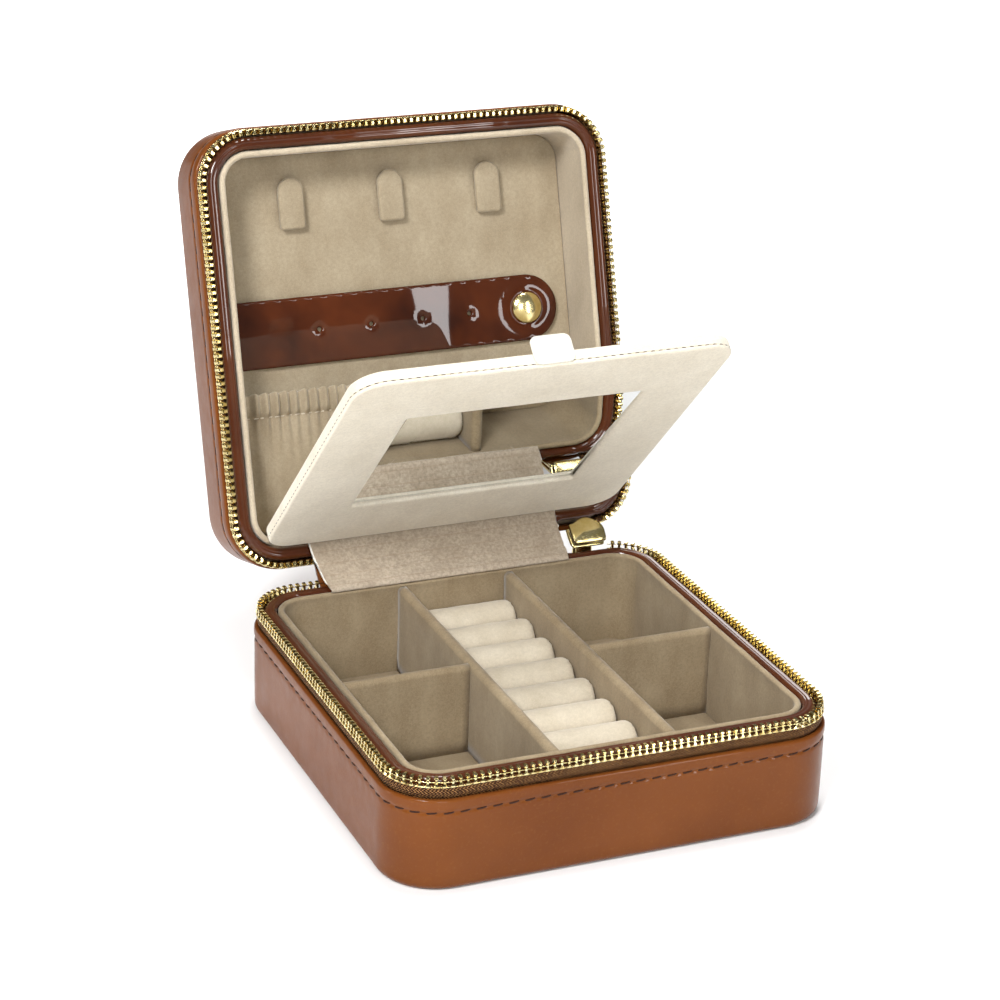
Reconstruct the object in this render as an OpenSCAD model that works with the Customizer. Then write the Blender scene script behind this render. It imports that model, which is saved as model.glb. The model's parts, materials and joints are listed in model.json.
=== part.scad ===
// Zip-around leather jewellery case: divided tray base, hinged lid with folding mirror.
// Millimetres. +Z up, front is -Y, the hinge runs along X at the back.
// Origin: centre of the base's underside. Drawn open, with the mirror flap tilted forward.

/* [Case] */
// Outside width and depth of the square case
case_size = 160; // [140:1:180]
// Outside radius of the upright corners
corner_radius = 20; // [16:1:26]
// Height of the base, from the floor to the closing plane of the zipper
base_height = 41; // [36:1:50]
// Depth of the lid, from the closing plane to its outer face
lid_depth = 30; // [28:1:40]
// Thickness of the outer leather
leather_thickness = 1.8; // [1.2:0.2:2.4]
// Height of each zipper band between its leather wall and the closing plane
zipper_band = 7; // [6:0.5:9]
// Radius where the walls turn under at the outer edges
edge_radius = 3; // [2:0.5:4]

/* [Pose] */
// How far the lid is open, measured from closed
lid_open_angle = 107; // [90:1:115]
// How far the mirror flap is tilted out of the lid
mirror_open_angle = 62; // [0:1:62]
// Distance of the hinge line behind the back wall
hinge_offset = 3; // [2.5:0.5:4]

/* [Zipper] */
// Distance from one tooth to the next
tooth_pitch = 2.5; // [2:0.1:3]
// Length of a tooth along the chain
tooth_length = 1.2; // [0.8:0.1:1.5]
// Height of a tooth
tooth_height = 3.4; // [3:0.1:4]
// Thickness of a tooth across the chain
tooth_depth = 2.4; // [2:0.1:3]
// Left end of the zipper gap at the back
gap_left = -48.5; // [-60:0.5:-40]
// Right end of the zipper gap at the back, beyond the slider
gap_right = 64.5; // [55:0.5:66]

/* [Tray] */
// Height of the lining's rolled rim above the floor
rim_height = 40; // [36:0.5:48]
// Height of the long dividers
divider_height = 38; // [30:0.5:40]
// Thickness of the padded dividers
divider_thickness = 4.2; // [3:0.1:5]
// Distance of each long divider from the middle
divider_offset = 21; // [16:0.5:26]
// Position of the cross dividers, front to back
cross_position = 2; // [-10:1:10]
// Number of ring rolls
roll_count = 8; // [6:1:10]
// Height of the ring rolls' tops
roll_top = 31; // [26:0.5:34]
// Height of the bed that the ring rolls stand on
roll_bed_top = 12; // [8:0.5:14]

/* [Lid fittings] */
// Depth of the lid's back panel from the closing plane
panel_depth = 25.5; // [22:0.5:27]
// Width of a necklace tab
tab_width = 9.8; // [8:0.1:14]
// Length of a necklace tab
tab_length = 19; // [16:0.5:26]
// Distance between necklace tabs
tab_spacing = 39; // [30:0.5:45]
// Height of a necklace tab's lower end above the hinge line
tab_position = 125; // [115:0.5:130]
// Width of the earring strap
strap_width = 25; // [18:0.5:30]
// Height of the earring strap's middle above the hinge line
strap_position = 87.5; // [80:0.5:95]
// Right end of the earring strap
strap_end = 63.8; // [55:0.1:65]
// Thickness of the earring strap
strap_thickness = 1.6; // [1.2:0.1:2.2]
// Radius of the snap's domed cap
snap_radius = 5.9; // [5:0.1:8]
// Height of the pocket's mouth above the hinge line
pocket_top = 66.5; // [55:0.5:70]
// Depth of the pocket's front sheet from the closing plane
pocket_front = 17.5; // [15:0.5:19]

/* [Mirror flap] */
// Width of the mirror flap
flap_width = 138; // [120:1:139]
// Length of the mirror flap
flap_length = 136; // [120:0.5:137]
// Thickness of the mirror flap
flap_thickness = 4.6; // [4:0.1:6]
// Width of the mirror window
window_width = 86.6; // [70:0.1:100]
// Height of the mirror window
window_height = 74.5; // [60:0.1:90]
// Distance from the flap's hinge to the window
window_start = 33; // [25:0.5:40]

/* [Hidden] */
$fn = 48;
half = case_size/2;
hinge_y = half + hinge_offset;
hinge_z = base_height;
closed_height = base_height + lid_depth;
wall_top = base_height - zipper_band;
lid_wall_top = lid_depth - zipper_band;
core_in = 8.4;            // inset of the core's inner face
lining_out = 8.6;         // inset of the lining's outer face
lining_in = 10.4;         // inset of the lining's inner face
room = half - lining_in;  // half width inside the lining
floor_top = 4.4;
tape_low = 30;            // inset strip of tape tucked behind the leather
tooth_inset = 1.9;
teeth_per_side = floor((case_size - 2*corner_radius)/tooth_pitch);
teeth_per_corner = 11;
roll_pitch = 2*room/roll_count;
roll_radius = roll_pitch/2 - 0.25;
roll_length = 2*(divider_offset - divider_thickness/2) - 0.6;
strip_left = -48.0;
strip_right = 45.5;
flap_hinge_u = hinge_offset + 9.8;
flap_hinge_d = 3.5;
strap_front = panel_depth - 0.8 - strap_thickness;
flap_start = 2.2;
flap_y = hinge_y - flap_hinge_u;
flap_z = hinge_z + flap_hinge_d;
slider_left = 49.8;
slider_right = 63.3;
slider_mid = (slider_left + slider_right)/2;

leather_brown = [0.50, 0.27, 0.14];
patent_brown = [0.26, 0.10, 0.04];
velvet_beige = [0.72, 0.65, 0.54];
velvet_pale = [0.86, 0.82, 0.75];
board_grey = [0.45, 0.40, 0.34];
tape_brown = [0.28, 0.17, 0.09];
thread_brown = [0.14, 0.08, 0.05];
gold = [0.86, 0.72, 0.32];

// ---- placing ----

module lid_open() {
  translate([0, hinge_y, hinge_z]) rotate([-lid_open_angle, 0, 0])
    translate([0, -hinge_y, -hinge_z]) children();
}

// A half shell drawn with its outer face at z = 0, turned over to be the lid
module as_lid() {
  lid_open() translate([0, 0, closed_height]) mirror([0, 0, 1]) children();
}

// Lid fittings: x, u (distance from the hinge line), d (depth from the closing plane)
module in_lid() {
  lid_open() translate([0, hinge_y, hinge_z]) mirror([0, 1, 0]) children();
}

module in_flap() {
  lid_open() translate([0, flap_y, flap_z]) rotate([mirror_open_angle, 0, 0])
    mirror([0, 1, 0]) children();
}

// ---- shared shapes ----

// Sweeps a profile (x outward from the line, y up) round a rounded rectangle
module ring(hx, hy, r) {
  for (k = [0:3]) {
    a = k % 2 == 0 ? hx : hy;
    b = k % 2 == 0 ? hy : hx;
    rotate(90*k) {
      translate([a - r, b - r, 0]) rotate_extrude(angle = 90) translate([r, 0]) children();
      translate([a, b - r, 0]) rotate([90, 0, 0]) linear_extrude(2*(b - r)) children();
    }
  }
}

module rounded_square(hx, hy, r) {
  square([2*hx, 2*(hy - r)], center = true);
  square([2*(hx - r), 2*hy], center = true);
  for (x = [-1, 1], y = [-1, 1]) translate([x*(hx - r), y*(hy - r)]) circle(r);
}

module slab(inset, z0, z1) {
  translate([0, 0, z0]) linear_extrude(z1 - z0)
    rounded_square(half - inset, half - inset, corner_radius - inset);
}

module back_gap(left, right, z0, z1) {
  translate([left, 40, z0]) cube([right - left, half - 20, z1 - z0]);
}

module leather_profile(h) {
  t = leather_thickness;
  e = edge_radius;
  translate([-t, e]) square([t, h - e - t/2]);
  translate([-t/2, h - t/2]) circle(t/2);
  translate([-8, 0]) square([8 - e, t]);
  intersection() {
    translate([-e, e]) difference() { circle(e); circle(e - t); }
    translate([-e, 0]) square([e, e]);
  }
}

module half_leather(h) {
  ring(half, half, corner_radius) leather_profile(h);
}

module half_cover() { slab(8.2, 0, leather_thickness); }

module half_core(h) {
  low = leather_thickness + 0.1;
  slab(5, low, 3.3);
  ring(half, half, corner_radius)
    polygon([[-core_in, low], [-3.2, low], [-2, low + 1.2], [-2, h - 11], [-3, h - 11],
      [-3, h - 8], [-core_in, h - 8]]);
}

module half_tape(h) {
  difference() {
    ring(half, half, corner_radius) translate([-2.7, h - 10.9]) square([0.8, 7.2]);
    back_gap(gap_left, gap_right, h - 12, h);
  }
}

module tooth() {
  translate([-tooth_depth/2, -tooth_length/2, -tooth_height]) cube([tooth_depth, tooth_length, tooth_height]);
}

// Rows of teeth along the four sides and round the corners, open at the back gap
module half_teeth(h, shift) {
  a = half - tooth_inset;
  straight = half - corner_radius;
  top = h - 0.25;
  for (k = [0:3]) rotate(90*k) {
    for (i = [0:teeth_per_side - 1]) {
      t = -straight + tooth_pitch*(i + 0.5 + shift);
      if (t < straight && (k != 1 || -t < gap_left - 0.8))
        translate([a, t, top]) tooth();
    }
    for (j = [0:teeth_per_corner - 1]) {
      g = (j + 0.5 + shift)*90/teeth_per_corner;
      x = straight + (corner_radius - tooth_inset)*cos(g);
      if (g < 90 && (k != 0 || x > gap_right + 0.8))
        translate([straight, straight, top]) rotate(g)
          translate([corner_radius - tooth_inset, 0, 0]) tooth();
    }
  }
}

// The rim is scooped a little behind the slider, so that it can turn
module half_patent(h) {
  difference() {
    ring(half, half, corner_radius) {
      translate([-8, h - 8]) square([4.6, 3.3]);
      translate([-5.7, h - 4.7]) circle(2.3);
    }
    translate([slider_left - 0.8, hinge_y, h]) rotate([0, 90, 0])
      cylinder(r = 8.4, h = slider_right - slider_left + 1.6);
  }
}

module half_lining(h, rim) {
  w = lining_in - lining_out;
  ring(half, half, corner_radius) {
    translate([-lining_in, 3.4]) square([w, rim - w/2 - 3.4]);
    translate([-lining_in + w/2, rim - w/2]) circle(w/2);
  }
}

module half_stitching(h) {
  ring(half, half, corner_radius) translate([0.02, h - zipper_band - 5.7]) square([0.35, 0.5]);
}

module round_top_wall(length, height, thickness) {
  linear_extrude(length) {
    translate([-thickness/2, 0]) square([thickness, height - thickness/2]);
    translate([0, height - thickness/2]) circle(thickness/2);
  }
}

// ---- base ----

module base_leather_wall() color(leather_brown) half_leather(wall_top);
module base_bottom_cover() color(leather_brown) half_cover();
module base_core() color(board_grey) half_core(base_height);
module base_stitching() color(thread_brown) half_stitching(base_height);
module base_zipper_tape() color(tape_brown) half_tape(base_height);
module base_zipper_teeth() color(gold) half_teeth(base_height, 0);
module base_patent_rim() color(patent_brown) half_patent(base_height);
module base_lining_walls() color(velvet_beige) half_lining(base_height, rim_height);

module base_lining_floor() color(velvet_beige) slab(lining_in + 0.1, 3.4, floor_top);

module long_divider(side) {
  translate([side*divider_offset, room - 0.2, floor_top]) rotate([90, 0, 0])
    round_top_wall(2*room - 0.4, divider_height - floor_top, divider_thickness);
}

module divider_long_left() color(velvet_beige) long_divider(-1);
module divider_long_right() color(velvet_beige) long_divider(1);

module cross_divider(side) {
  inner = divider_offset + divider_thickness/2 + 0.1;
  translate([side > 0 ? inner : -room + 0.1, cross_position, floor_top]) rotate([90, 0, 90])
    round_top_wall(room - 0.1 - inner, divider_height - 0.4 - floor_top, divider_thickness);
}

module divider_cross_left() color(velvet_beige) cross_divider(-1);
module divider_cross_right() color(velvet_beige) cross_divider(1);

module ring_roll_bed() color(velvet_beige)
  translate([-roll_length/2, -room + 0.2, floor_top])
    cube([roll_length, 2*room - 0.4, roll_bed_top - floor_top]);

module ring_roll(i) {
  y = room - roll_pitch*(i - 0.5);
  color(velvet_beige) translate([-roll_length/2, y, 0]) rotate([90, 0, 90]) linear_extrude(roll_length) {
    translate([-roll_radius, roll_bed_top]) square([2*roll_radius, roll_top - roll_radius - roll_bed_top]);
    translate([0, roll_top - roll_radius]) circle(roll_radius);
  }
}

// ---- lid ----

module lid_leather_wall() color(leather_brown) as_lid() half_leather(lid_wall_top);
module lid_top_cover() color(leather_brown) as_lid() half_cover();
module lid_core() color(board_grey) as_lid() half_core(lid_depth);
module lid_stitching() color(thread_brown) as_lid() half_stitching(lid_depth);
module lid_zipper_tape() color(tape_brown) as_lid() half_tape(lid_depth);
module lid_zipper_teeth() color(gold) as_lid() half_teeth(lid_depth, 0.5);
module lid_patent_rim() color(patent_brown) as_lid() half_patent(lid_depth);

// The lower run is cut back in the middle, where the mirror flap's edge lies
module lid_lining_walls() color(velvet_beige) as_lid() difference() {
  half_lining(lid_depth, lid_depth - 0.9);
  back_gap(-64, 64, lid_depth - 8, lid_depth);
}

module lid_lining_panel() color(velvet_beige) as_lid()
  slab(lining_in + 0.1, 3.4, lid_depth - panel_depth);

// Round-topped tab standing off the panel on a foot, so that a chain hangs behind it
module necklace_tab(i) {
  color(velvet_beige) in_lid() translate([(i - 2)*tab_spacing, tab_position, 0]) {
    translate([0, 0, panel_depth - 4.4]) linear_extrude(2.4) {
      translate([-tab_width/2, 0]) square([tab_width, tab_length - tab_width/2]);
      translate([0, tab_length - tab_width/2]) circle(tab_width/2);
    }
    translate([-tab_width/2 + 1, 1, panel_depth - 2]) cube([tab_width - 2, 8, 2]);
  }
}

module earring_strap() color(patent_brown) in_lid() translate([0, strap_position, strap_front])
  difference() {
    linear_extrude(strap_thickness) {
      translate([-room + 0.5, -strap_width/2]) square([room - 0.5 + strap_end - strap_width/2, strap_width]);
      translate([strap_end - strap_width/2, 0]) circle(strap_width/2);
    }
    for (x = [-32, -11.5, 9, 28]) translate([x, 0, -1]) cylinder(r = 0.8, h = 4);
    translate([strap_end - strap_width/2, 0, -1]) cylinder(r = 2.1, h = 4);
  }

// Domed cap with a rolled edge, its stem set in the strap's end
module snap_cap() color(gold) in_lid()
  translate([strap_end - strap_width/2, strap_position, strap_front]) {
    translate([0, 0, -0.8]) cylinder(r = snap_radius, h = 0.8);
    translate([0, 0, -0.8]) intersection() {
      translate([0, 0, 9.2]) sphere(r = 11, $fn = 64);
      translate([0, 0, -3]) cylinder(r = snap_radius - 0.6, h = 3);
    }
    cylinder(r = 2, h = strap_thickness);
  }

module snap_socket() color(gold) in_lid()
  translate([strap_end - strap_width/2, strap_position, panel_depth - 0.45]) cylinder(r = 4.5, h = 0.45);

// Gathered sheet sewn down at its sides and lower edge, open at the top
module elastic_pocket() color(velvet_beige) in_lid() difference() {
  translate([-66, 16, pocket_front]) cube([132, pocket_top - 16, panel_depth - pocket_front]);
  translate([-64.6, 16.4, pocket_front + 1.4]) cube([129.2, 60, panel_depth - pocket_front]);
  translate([-70, pocket_top - 5.5, pocket_front + 0.35]) cube([140, 2.2, 0.7]);
}

// Flat elastic in the heading of the pocket
module pocket_elastic() color(velvet_pale) in_lid()
  translate([-65.8, pocket_top - 5.3, pocket_front + 0.45]) cube([131.6, 1.8, 0.5]);

// ---- mirror flap ----

module flap_outline() {
  translate([0, flap_start + flap_length/2]) rounded_square(flap_width/2, flap_length/2, 11);
}

module window_outline(extra) {
  translate([-window_width/2 - extra, window_start - extra])
    square([window_width + 2*extra, window_height + 2*extra]);
}

module flap_layer(z0, z1) {
  translate([0, 0, z0 - flap_thickness/2]) linear_extrude(z1 - z0) children();
}

module mirror_frame_front() color(velvet_pale) in_flap()
  flap_layer(0, 1.5) difference() { flap_outline(); window_outline(0); }

module mirror_board() color(board_grey) in_flap()
  flap_layer(1.5, 3.3) difference() { flap_outline(); window_outline(3.1); }

module mirror_glass() color([0.80, 0.84, 0.86]) in_flap()
  flap_layer(1.5, 3.3) window_outline(3);

module mirror_frame_back() color(velvet_pale) in_flap()
  flap_layer(3.3, flap_thickness) flap_outline();

// Ribbon tab let into the seam at the flap's free edge, folded back over it
module mirror_pull_tab() color([0.95, 0.93, 0.88]) in_flap()
  translate([0, flap_start + flap_length + 0.05, 0]) rotate([90, 0, 180]) linear_extrude(0.7) {
    translate([-8, -flap_thickness/2]) square([16, 10]);
    translate([-5, -flap_thickness/2]) square([10, 13]);
    for (x = [-5, 5]) translate([x, 10 - flap_thickness/2]) circle(3);
  }

module mirror_hem() color(velvet_pale) in_flap() difference() {
  union() {
    translate([-46, 0, 0]) rotate([0, 90, 0]) cylinder(r = 1.6, h = 92);
    translate([-46, 0, -1.6]) cube([92, flap_start - 0.05, 3.2]);
  }
  translate([-47, 0, 0]) rotate([0, 90, 0]) cylinder(r = 0.85, h = 94);
}

module mirror_hinge_rod() color(gold) in_flap()
  translate([-49.5, 0, 0]) rotate([0, 90, 0]) cylinder(r = 0.8, h = 99);

// Velvet strip from the flap's hem to the lid's lining
module mirror_hinge_cloth() color(velvet_pale) in_lid()
  translate([-45, 0, 0]) rotate([90, 0, 90]) linear_extrude(90)
    polygon([[12.2, 5.4], [13.0, 5.4], [12.9, 7.7], [12.1, 7.7]]);

// ---- hinge ----

// Velvet strip from the tray's back rim up to the mirror's lower edge
module hinge_strip() color(velvet_beige)
  translate([strip_left, 0, 0]) rotate([90, 0, 90]) linear_extrude(strip_right - strip_left)
    polygon([[69.8, 40.1], [72.3, 40.1], [80.2, 44.4], [88.4, 50.3], [87.9, 51.1],
      [79.8, 45.3], [72.1, 40.9], [69.8, 40.9]]);

module outer_spine() color(leather_brown)
  translate([strip_left, 0, 0]) rotate([90, 0, 90]) linear_extrude(strip_right - strip_left)
    polygon([[78.6, 34.1], [80, 34.1], [83, 35], [86.6, 37.6], [90, 41.6], [89.2, 42.3],
      [86, 38.6], [82.6, 36.1], [79.8, 35.3], [78.6, 35.3]]);

// ---- slider ----

// Local frame: y from the hinge line, z from the closing plane; turned halfway between base and lid
module in_slider() {
  translate([slider_mid, hinge_y, hinge_z]) rotate([-lid_open_angle/2, 0, 0]) children();
}

// Two plates joined by a neck, across the closing plane at the right end of the zipper
module zipper_slider() color(gold) in_slider() {
  w = slider_right - slider_left;
  for (y = [-6.1, -2.9])
    translate([0, y + 1, 0]) rotate([90, 0, 0]) linear_extrude(1) {
      translate([-w/2, -5.2]) square([w/2 + 2, 10.4]);
      intersection() {
        circle(w/2, $fn = 64);
        translate([0, -5.2]) square([w, 10.4]);
      }
    }
  translate([-4, -5.2, -1.5]) cube([7, 2.4, 3]);
}

// Pin and posts on the slider's outer plate that the pull hangs from
module slider_bridge() color(gold) in_slider() {
  translate([-4, 0, 0]) rotate([0, 90, 0]) cylinder(r = 0.7, h = 8);
  for (x = [-4, 2.9]) translate([x, -1.9, -0.7]) cube([1.1, 1.9, 1.4]);
}

// Flat pull with an eye round the pin, hanging outside the back wall
module slider_pull() color(gold) translate([slider_mid, hinge_y, hinge_z]) difference() {
  union() {
    translate([-2.7, 0, 0]) rotate([0, 90, 0]) cylinder(r = 1.6, h = 5.4);
    translate([-2.7, -0.6, -3.2]) cube([5.4, 1.2, 3.2]);
    translate([-4, -0.6, -23]) cube([8, 1.2, 20.4]);
    translate([0, 0.6, -23]) rotate([90, 0, 0]) cylinder(r = 4, h = 1.2);
  }
  translate([-4, 0, 0]) rotate([0, 90, 0]) cylinder(r = 0.95, h = 8);
}

base_leather_wall();
base_bottom_cover();
base_core();
base_stitching();
base_zipper_tape();
base_zipper_teeth();
base_patent_rim();
base_lining_walls();
base_lining_floor();
divider_long_left();
divider_long_right();
divider_cross_left();
divider_cross_right();
ring_roll_bed();
for (i = [1:roll_count]) ring_roll(i);
lid_leather_wall();
lid_top_cover();
lid_core();
lid_stitching();
lid_zipper_tape();
lid_zipper_teeth();
lid_patent_rim();
lid_lining_walls();
lid_lining_panel();
for (i = [1:3]) necklace_tab(i);
earring_strap();
snap_cap();
snap_socket();
elastic_pocket();
pocket_elastic();
mirror_frame_front();
mirror_board();
mirror_glass();
mirror_frame_back();
mirror_pull_tab();
mirror_hem();
mirror_hinge_rod();
mirror_hinge_cloth();
hinge_strip();
outer_spine();
zipper_slider();
slider_bridge();
slider_pull();
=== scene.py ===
import bpy, bmesh, json, math
import numpy as np
from math import pi, sin, cos, exp, radians
from mathutils import Vector, Matrix, noise
from mathutils.geometry import delaunay_2d_cdt


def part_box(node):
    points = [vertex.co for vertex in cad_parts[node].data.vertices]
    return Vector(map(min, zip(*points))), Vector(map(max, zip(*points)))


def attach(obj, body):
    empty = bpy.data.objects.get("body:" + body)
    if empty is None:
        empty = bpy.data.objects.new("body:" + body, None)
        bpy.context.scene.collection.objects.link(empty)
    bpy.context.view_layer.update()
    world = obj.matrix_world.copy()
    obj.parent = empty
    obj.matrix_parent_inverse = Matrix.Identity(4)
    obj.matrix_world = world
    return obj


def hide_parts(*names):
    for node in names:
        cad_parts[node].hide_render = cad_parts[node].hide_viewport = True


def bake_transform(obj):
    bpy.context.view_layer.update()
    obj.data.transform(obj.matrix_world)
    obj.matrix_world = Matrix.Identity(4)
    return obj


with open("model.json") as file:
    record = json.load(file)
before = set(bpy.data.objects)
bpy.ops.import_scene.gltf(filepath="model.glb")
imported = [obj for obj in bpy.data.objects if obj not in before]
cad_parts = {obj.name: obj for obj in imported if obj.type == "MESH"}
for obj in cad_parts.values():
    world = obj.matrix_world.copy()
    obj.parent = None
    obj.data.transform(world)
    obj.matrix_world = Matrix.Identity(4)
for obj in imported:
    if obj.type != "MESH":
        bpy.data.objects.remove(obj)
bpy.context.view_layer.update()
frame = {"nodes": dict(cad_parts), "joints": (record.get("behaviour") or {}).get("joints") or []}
nodes = frame["nodes"]
joints = {j["name"]: j for j in frame["joints"]}

# ---- sizes in millimetres, in the frame of the CAD model ----
HINGE = Vector(joints["lid_hinge"]["pos_m"]) * 1000
OPEN = joints["lid_hinge"]["range_deg"][1]
TILT = joints["mirror_tilt"]["range_deg"][1]
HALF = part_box("base_leather_wall")[1].x * 1000
RAD = 20.0
BASE_H = HINGE.z
LID_H = 30.0
CLOSED = BASE_H + LID_H
FLAP_Y, FLAP_Z, FLAP_T = HINGE.y - 12.8, BASE_H + 3.5, 4.6
PANEL = 25.5


def about_x(p, deg):
    return Matrix.Translation(p) @ Matrix.Rotation(radians(deg), 4, "X") @ Matrix.Translation(-p)


HERE = Matrix.Identity(4)
LID = about_x(HINGE, -OPEN)
LID_HALF = LID @ Matrix.Translation((0, 0, CLOSED)) @ Matrix.Scale(-1, 4, (0, 0, 1))
IN_LID = LID @ Matrix.Translation(HINGE) @ Matrix.Scale(-1, 4, (0, 1, 0))
FLAP = (LID @ Matrix.Translation((0, FLAP_Y, FLAP_Z)) @ Matrix.Rotation(radians(TILT), 4, "X")
        @ Matrix.Scale(-1, 4, (0, 1, 0)))
SLIDER_X = (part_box("slider_pull")[0].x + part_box("slider_pull")[1].x) * 500
SLIDER = Matrix.Translation((SLIDER_X, HINGE.y, HINGE.z)) @ Matrix.Rotation(radians(-OPEN / 2), 4, "X")


# ---- materials ----
class Mat:
    """A Principled material; textures use object coordinates in metres, or the mm pattern UV."""

    def __init__(self, name, **sockets):
        self.mat = bpy.data.materials.new(name)
        self.mat.use_nodes = True
        self.n, self.l = self.mat.node_tree.nodes, self.mat.node_tree.links
        self.b = self.n["Principled BSDF"]
        self.coord = self.n.new("ShaderNodeTexCoord").outputs["Object"]
        for k, v in sockets.items():
            self.b.inputs[k.replace("_", " ")].default_value = v
        self.normal = None

    def noise(self, scale, detail=3.0, rough=0.55, stretch=None, distortion=0.0):
        t = self.n.new("ShaderNodeTexNoise")
        t.inputs["Scale"].default_value = scale
        t.inputs["Detail"].default_value = detail
        t.inputs["Roughness"].default_value = rough
        t.inputs["Distortion"].default_value = distortion
        src = self.coord
        if stretch:
            m = self.n.new("ShaderNodeMapping")
            m.inputs["Scale"].default_value = stretch
            self.l.new(src, m.inputs["Vector"])
            src = m.outputs["Vector"]
        self.l.new(src, t.inputs["Vector"])
        return t.outputs["Fac"]

    def cells(self, scale, feature="F1"):
        t = self.n.new("ShaderNodeTexVoronoi")
        t.feature = feature
        t.inputs["Scale"].default_value = scale
        self.l.new(self.coord, t.inputs["Vector"])
        return t.outputs["Distance"]

    def uv(self):
        u = self.n.new("ShaderNodeUVMap")
        u.uv_map = "pattern"
        s = self.n.new("ShaderNodeSeparateXYZ")
        self.l.new(u.outputs["UV"], s.inputs["Vector"])
        return s.outputs["X"], s.outputs["Y"]

    def math(self, op, a, b=0.0, c=None):
        m = self.n.new("ShaderNodeMath")
        m.operation = op
        for i, v in enumerate((a, b) if c is None else (a, b, c)):
            if isinstance(v, (int, float)):
                m.inputs[i].default_value = v
            else:
                self.l.new(v, m.inputs[i])
        return m.outputs[0]

    def ramp(self, fac, stops):
        r = self.n.new("ShaderNodeValToRGB")
        e = r.color_ramp.elements
        while len(e) < len(stops):
            e.new(0.5)
        for s, (p, c) in zip(e, stops):
            s.position = p
            s.color = (*c, 1) if not isinstance(c, (int, float)) else (c, c, c, 1)
        self.l.new(fac, r.inputs["Fac"])
        return r.outputs["Color"]

    def mix(self, fac, a, b, kind="MIX"):
        m = self.n.new("ShaderNodeMix")
        m.data_type, m.blend_type = "RGBA", kind
        for sock, v in ((m.inputs[0], fac), (m.inputs[6], a), (m.inputs[7], b)):
            if isinstance(v, (int, float)):
                sock.default_value = v
            elif isinstance(v, tuple):
                sock.default_value = (*v, 1)
            else:
                self.l.new(v, sock)
        return m.outputs[2]

    def colour(self, c):
        self.l.new(c, self.b.inputs["Base Color"])

    def rough(self, r):
        self.l.new(r, self.b.inputs["Roughness"])

    def bump(self, height, strength, distance):
        b = self.n.new("ShaderNodeBump")
        b.inputs["Strength"].default_value = strength
        b.inputs["Distance"].default_value = distance
        self.l.new(height, b.inputs["Height"])
        if self.normal is not None:
            self.l.new(self.normal, b.inputs["Normal"])
        self.normal = b.outputs["Normal"]
        self.l.new(self.normal, self.b.inputs["Normal"])


def leather(name, lo, hi, worn):
    m = Mat(name, Coat_Weight=0.27, Coat_Roughness=0.05, Specular_IOR_Level=0.05)
    cloud = m.noise(22, 4)
    fine = m.noise(900, 3)
    c = m.ramp(cloud, [(0.3, lo), (0.7, hi)])
    c = m.mix(m.ramp(fine, [(0.55, 0.0), (0.8, 0.35)]), c, worn)
    m.colour(c)
    m.rough(m.ramp(m.noise(160, 4), [(0.3, 0.30), (0.7, 0.42)]))
    m.bump(m.noise(45, 2), 0.20, 0.0009)
    m.bump(m.cells(1100), 0.10, 0.00012)
    m.bump(fine, 0.12, 0.0001)
    return m.mat


def patent(name, lo, hi, coat=0.85):
    m = Mat(name, Coat_Weight=coat, Coat_Roughness=0.02, Specular_IOR_Level=0.06)
    m.colour(m.ramp(m.noise(30, 3, distortion=0.4), [(0.3, lo), (0.7, hi)]))
    m.rough(m.ramp(m.noise(120, 2), [(0.3, 0.42), (0.7, 0.55)]))
    m.bump(m.noise(35, 2, 0.4), 0.10, 0.0006)
    return m.mat


def velvet(name, lo, hi, fuzz=1.0, sheen=0.35):
    m = Mat(name, Sheen_Weight=sheen, Sheen_Roughness=0.45, Specular_IOR_Level=0.15)
    brushed = m.noise(70, 3, 0.6, (1.0, 1.0, 0.55))
    nap = m.noise(850, 3, 0.7)
    fine = m.noise(2600, 2, 0.6)
    c = m.ramp(brushed, [(0.30, lo), (0.70, hi)])
    c = m.mix(m.ramp(nap, [(0.34, 0.30 * fuzz), (0.62, 0.0)]), c, tuple(v * 0.62 for v in lo))
    c = m.mix(m.ramp(fine, [(0.45, 0.0), (0.75, 0.30 * fuzz)]), c, tuple(min(1, v * 1.3) for v in hi))
    m.colour(c)
    m.rough(m.ramp(nap, [(0.3, 0.82), (0.7, 0.95)]))
    m.bump(brushed, 0.10, 0.0006)
    m.bump(nap, 0.30 * fuzz, 0.00022)
    return m.mat


def gold(name, lo, hi, rough=(0.16, 0.26)):
    m = Mat(name, Metallic=1.0)
    m.colour(m.ramp(m.noise(300, 3), [(0.3, lo), (0.7, hi)]))
    m.rough(m.ramp(m.noise(900, 4, 0.7, (1, 3, 1)), [(0.3, rough[0]), (0.75, rough[1])]))
    m.bump(m.noise(500, 2), 0.05, 0.0001)
    return m.mat


def woven(name):
    """Herringbone zipper tape: chevrons of dark and tan yarn along the pattern UV."""
    m = Mat(name, Specular_IOR_Level=0.15)
    u, v = m.uv()
    zig = m.math("ABSOLUTE", m.math("SUBTRACT", m.math("FRACT", m.math("MULTIPLY", v, 0.5)), 0.5))
    yarn = m.math("SINE", m.math("MULTIPLY", m.math("ADD", u, m.math("MULTIPLY", zig, 3.2)), 2 * pi / 1.25))
    rows = m.math("SINE", m.math("MULTIPLY", v, 2 * pi / 0.5))
    h = m.math("ADD", m.math("MULTIPLY", yarn, 0.4), m.math("MULTIPLY", rows, 0.15))
    h = m.math("ADD", h, m.math("MULTIPLY", m.noise(950, 2), 0.7))
    m.colour(m.ramp(h, [(0.20, (0.014, 0.005, 0.002)), (0.58, (0.060, 0.023, 0.007)),
                        (0.86, (0.46, 0.23, 0.08))]))
    m.b.inputs["Roughness"].default_value = 0.75
    m.bump(h, 0.5, 0.0002)
    return m.mat


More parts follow.
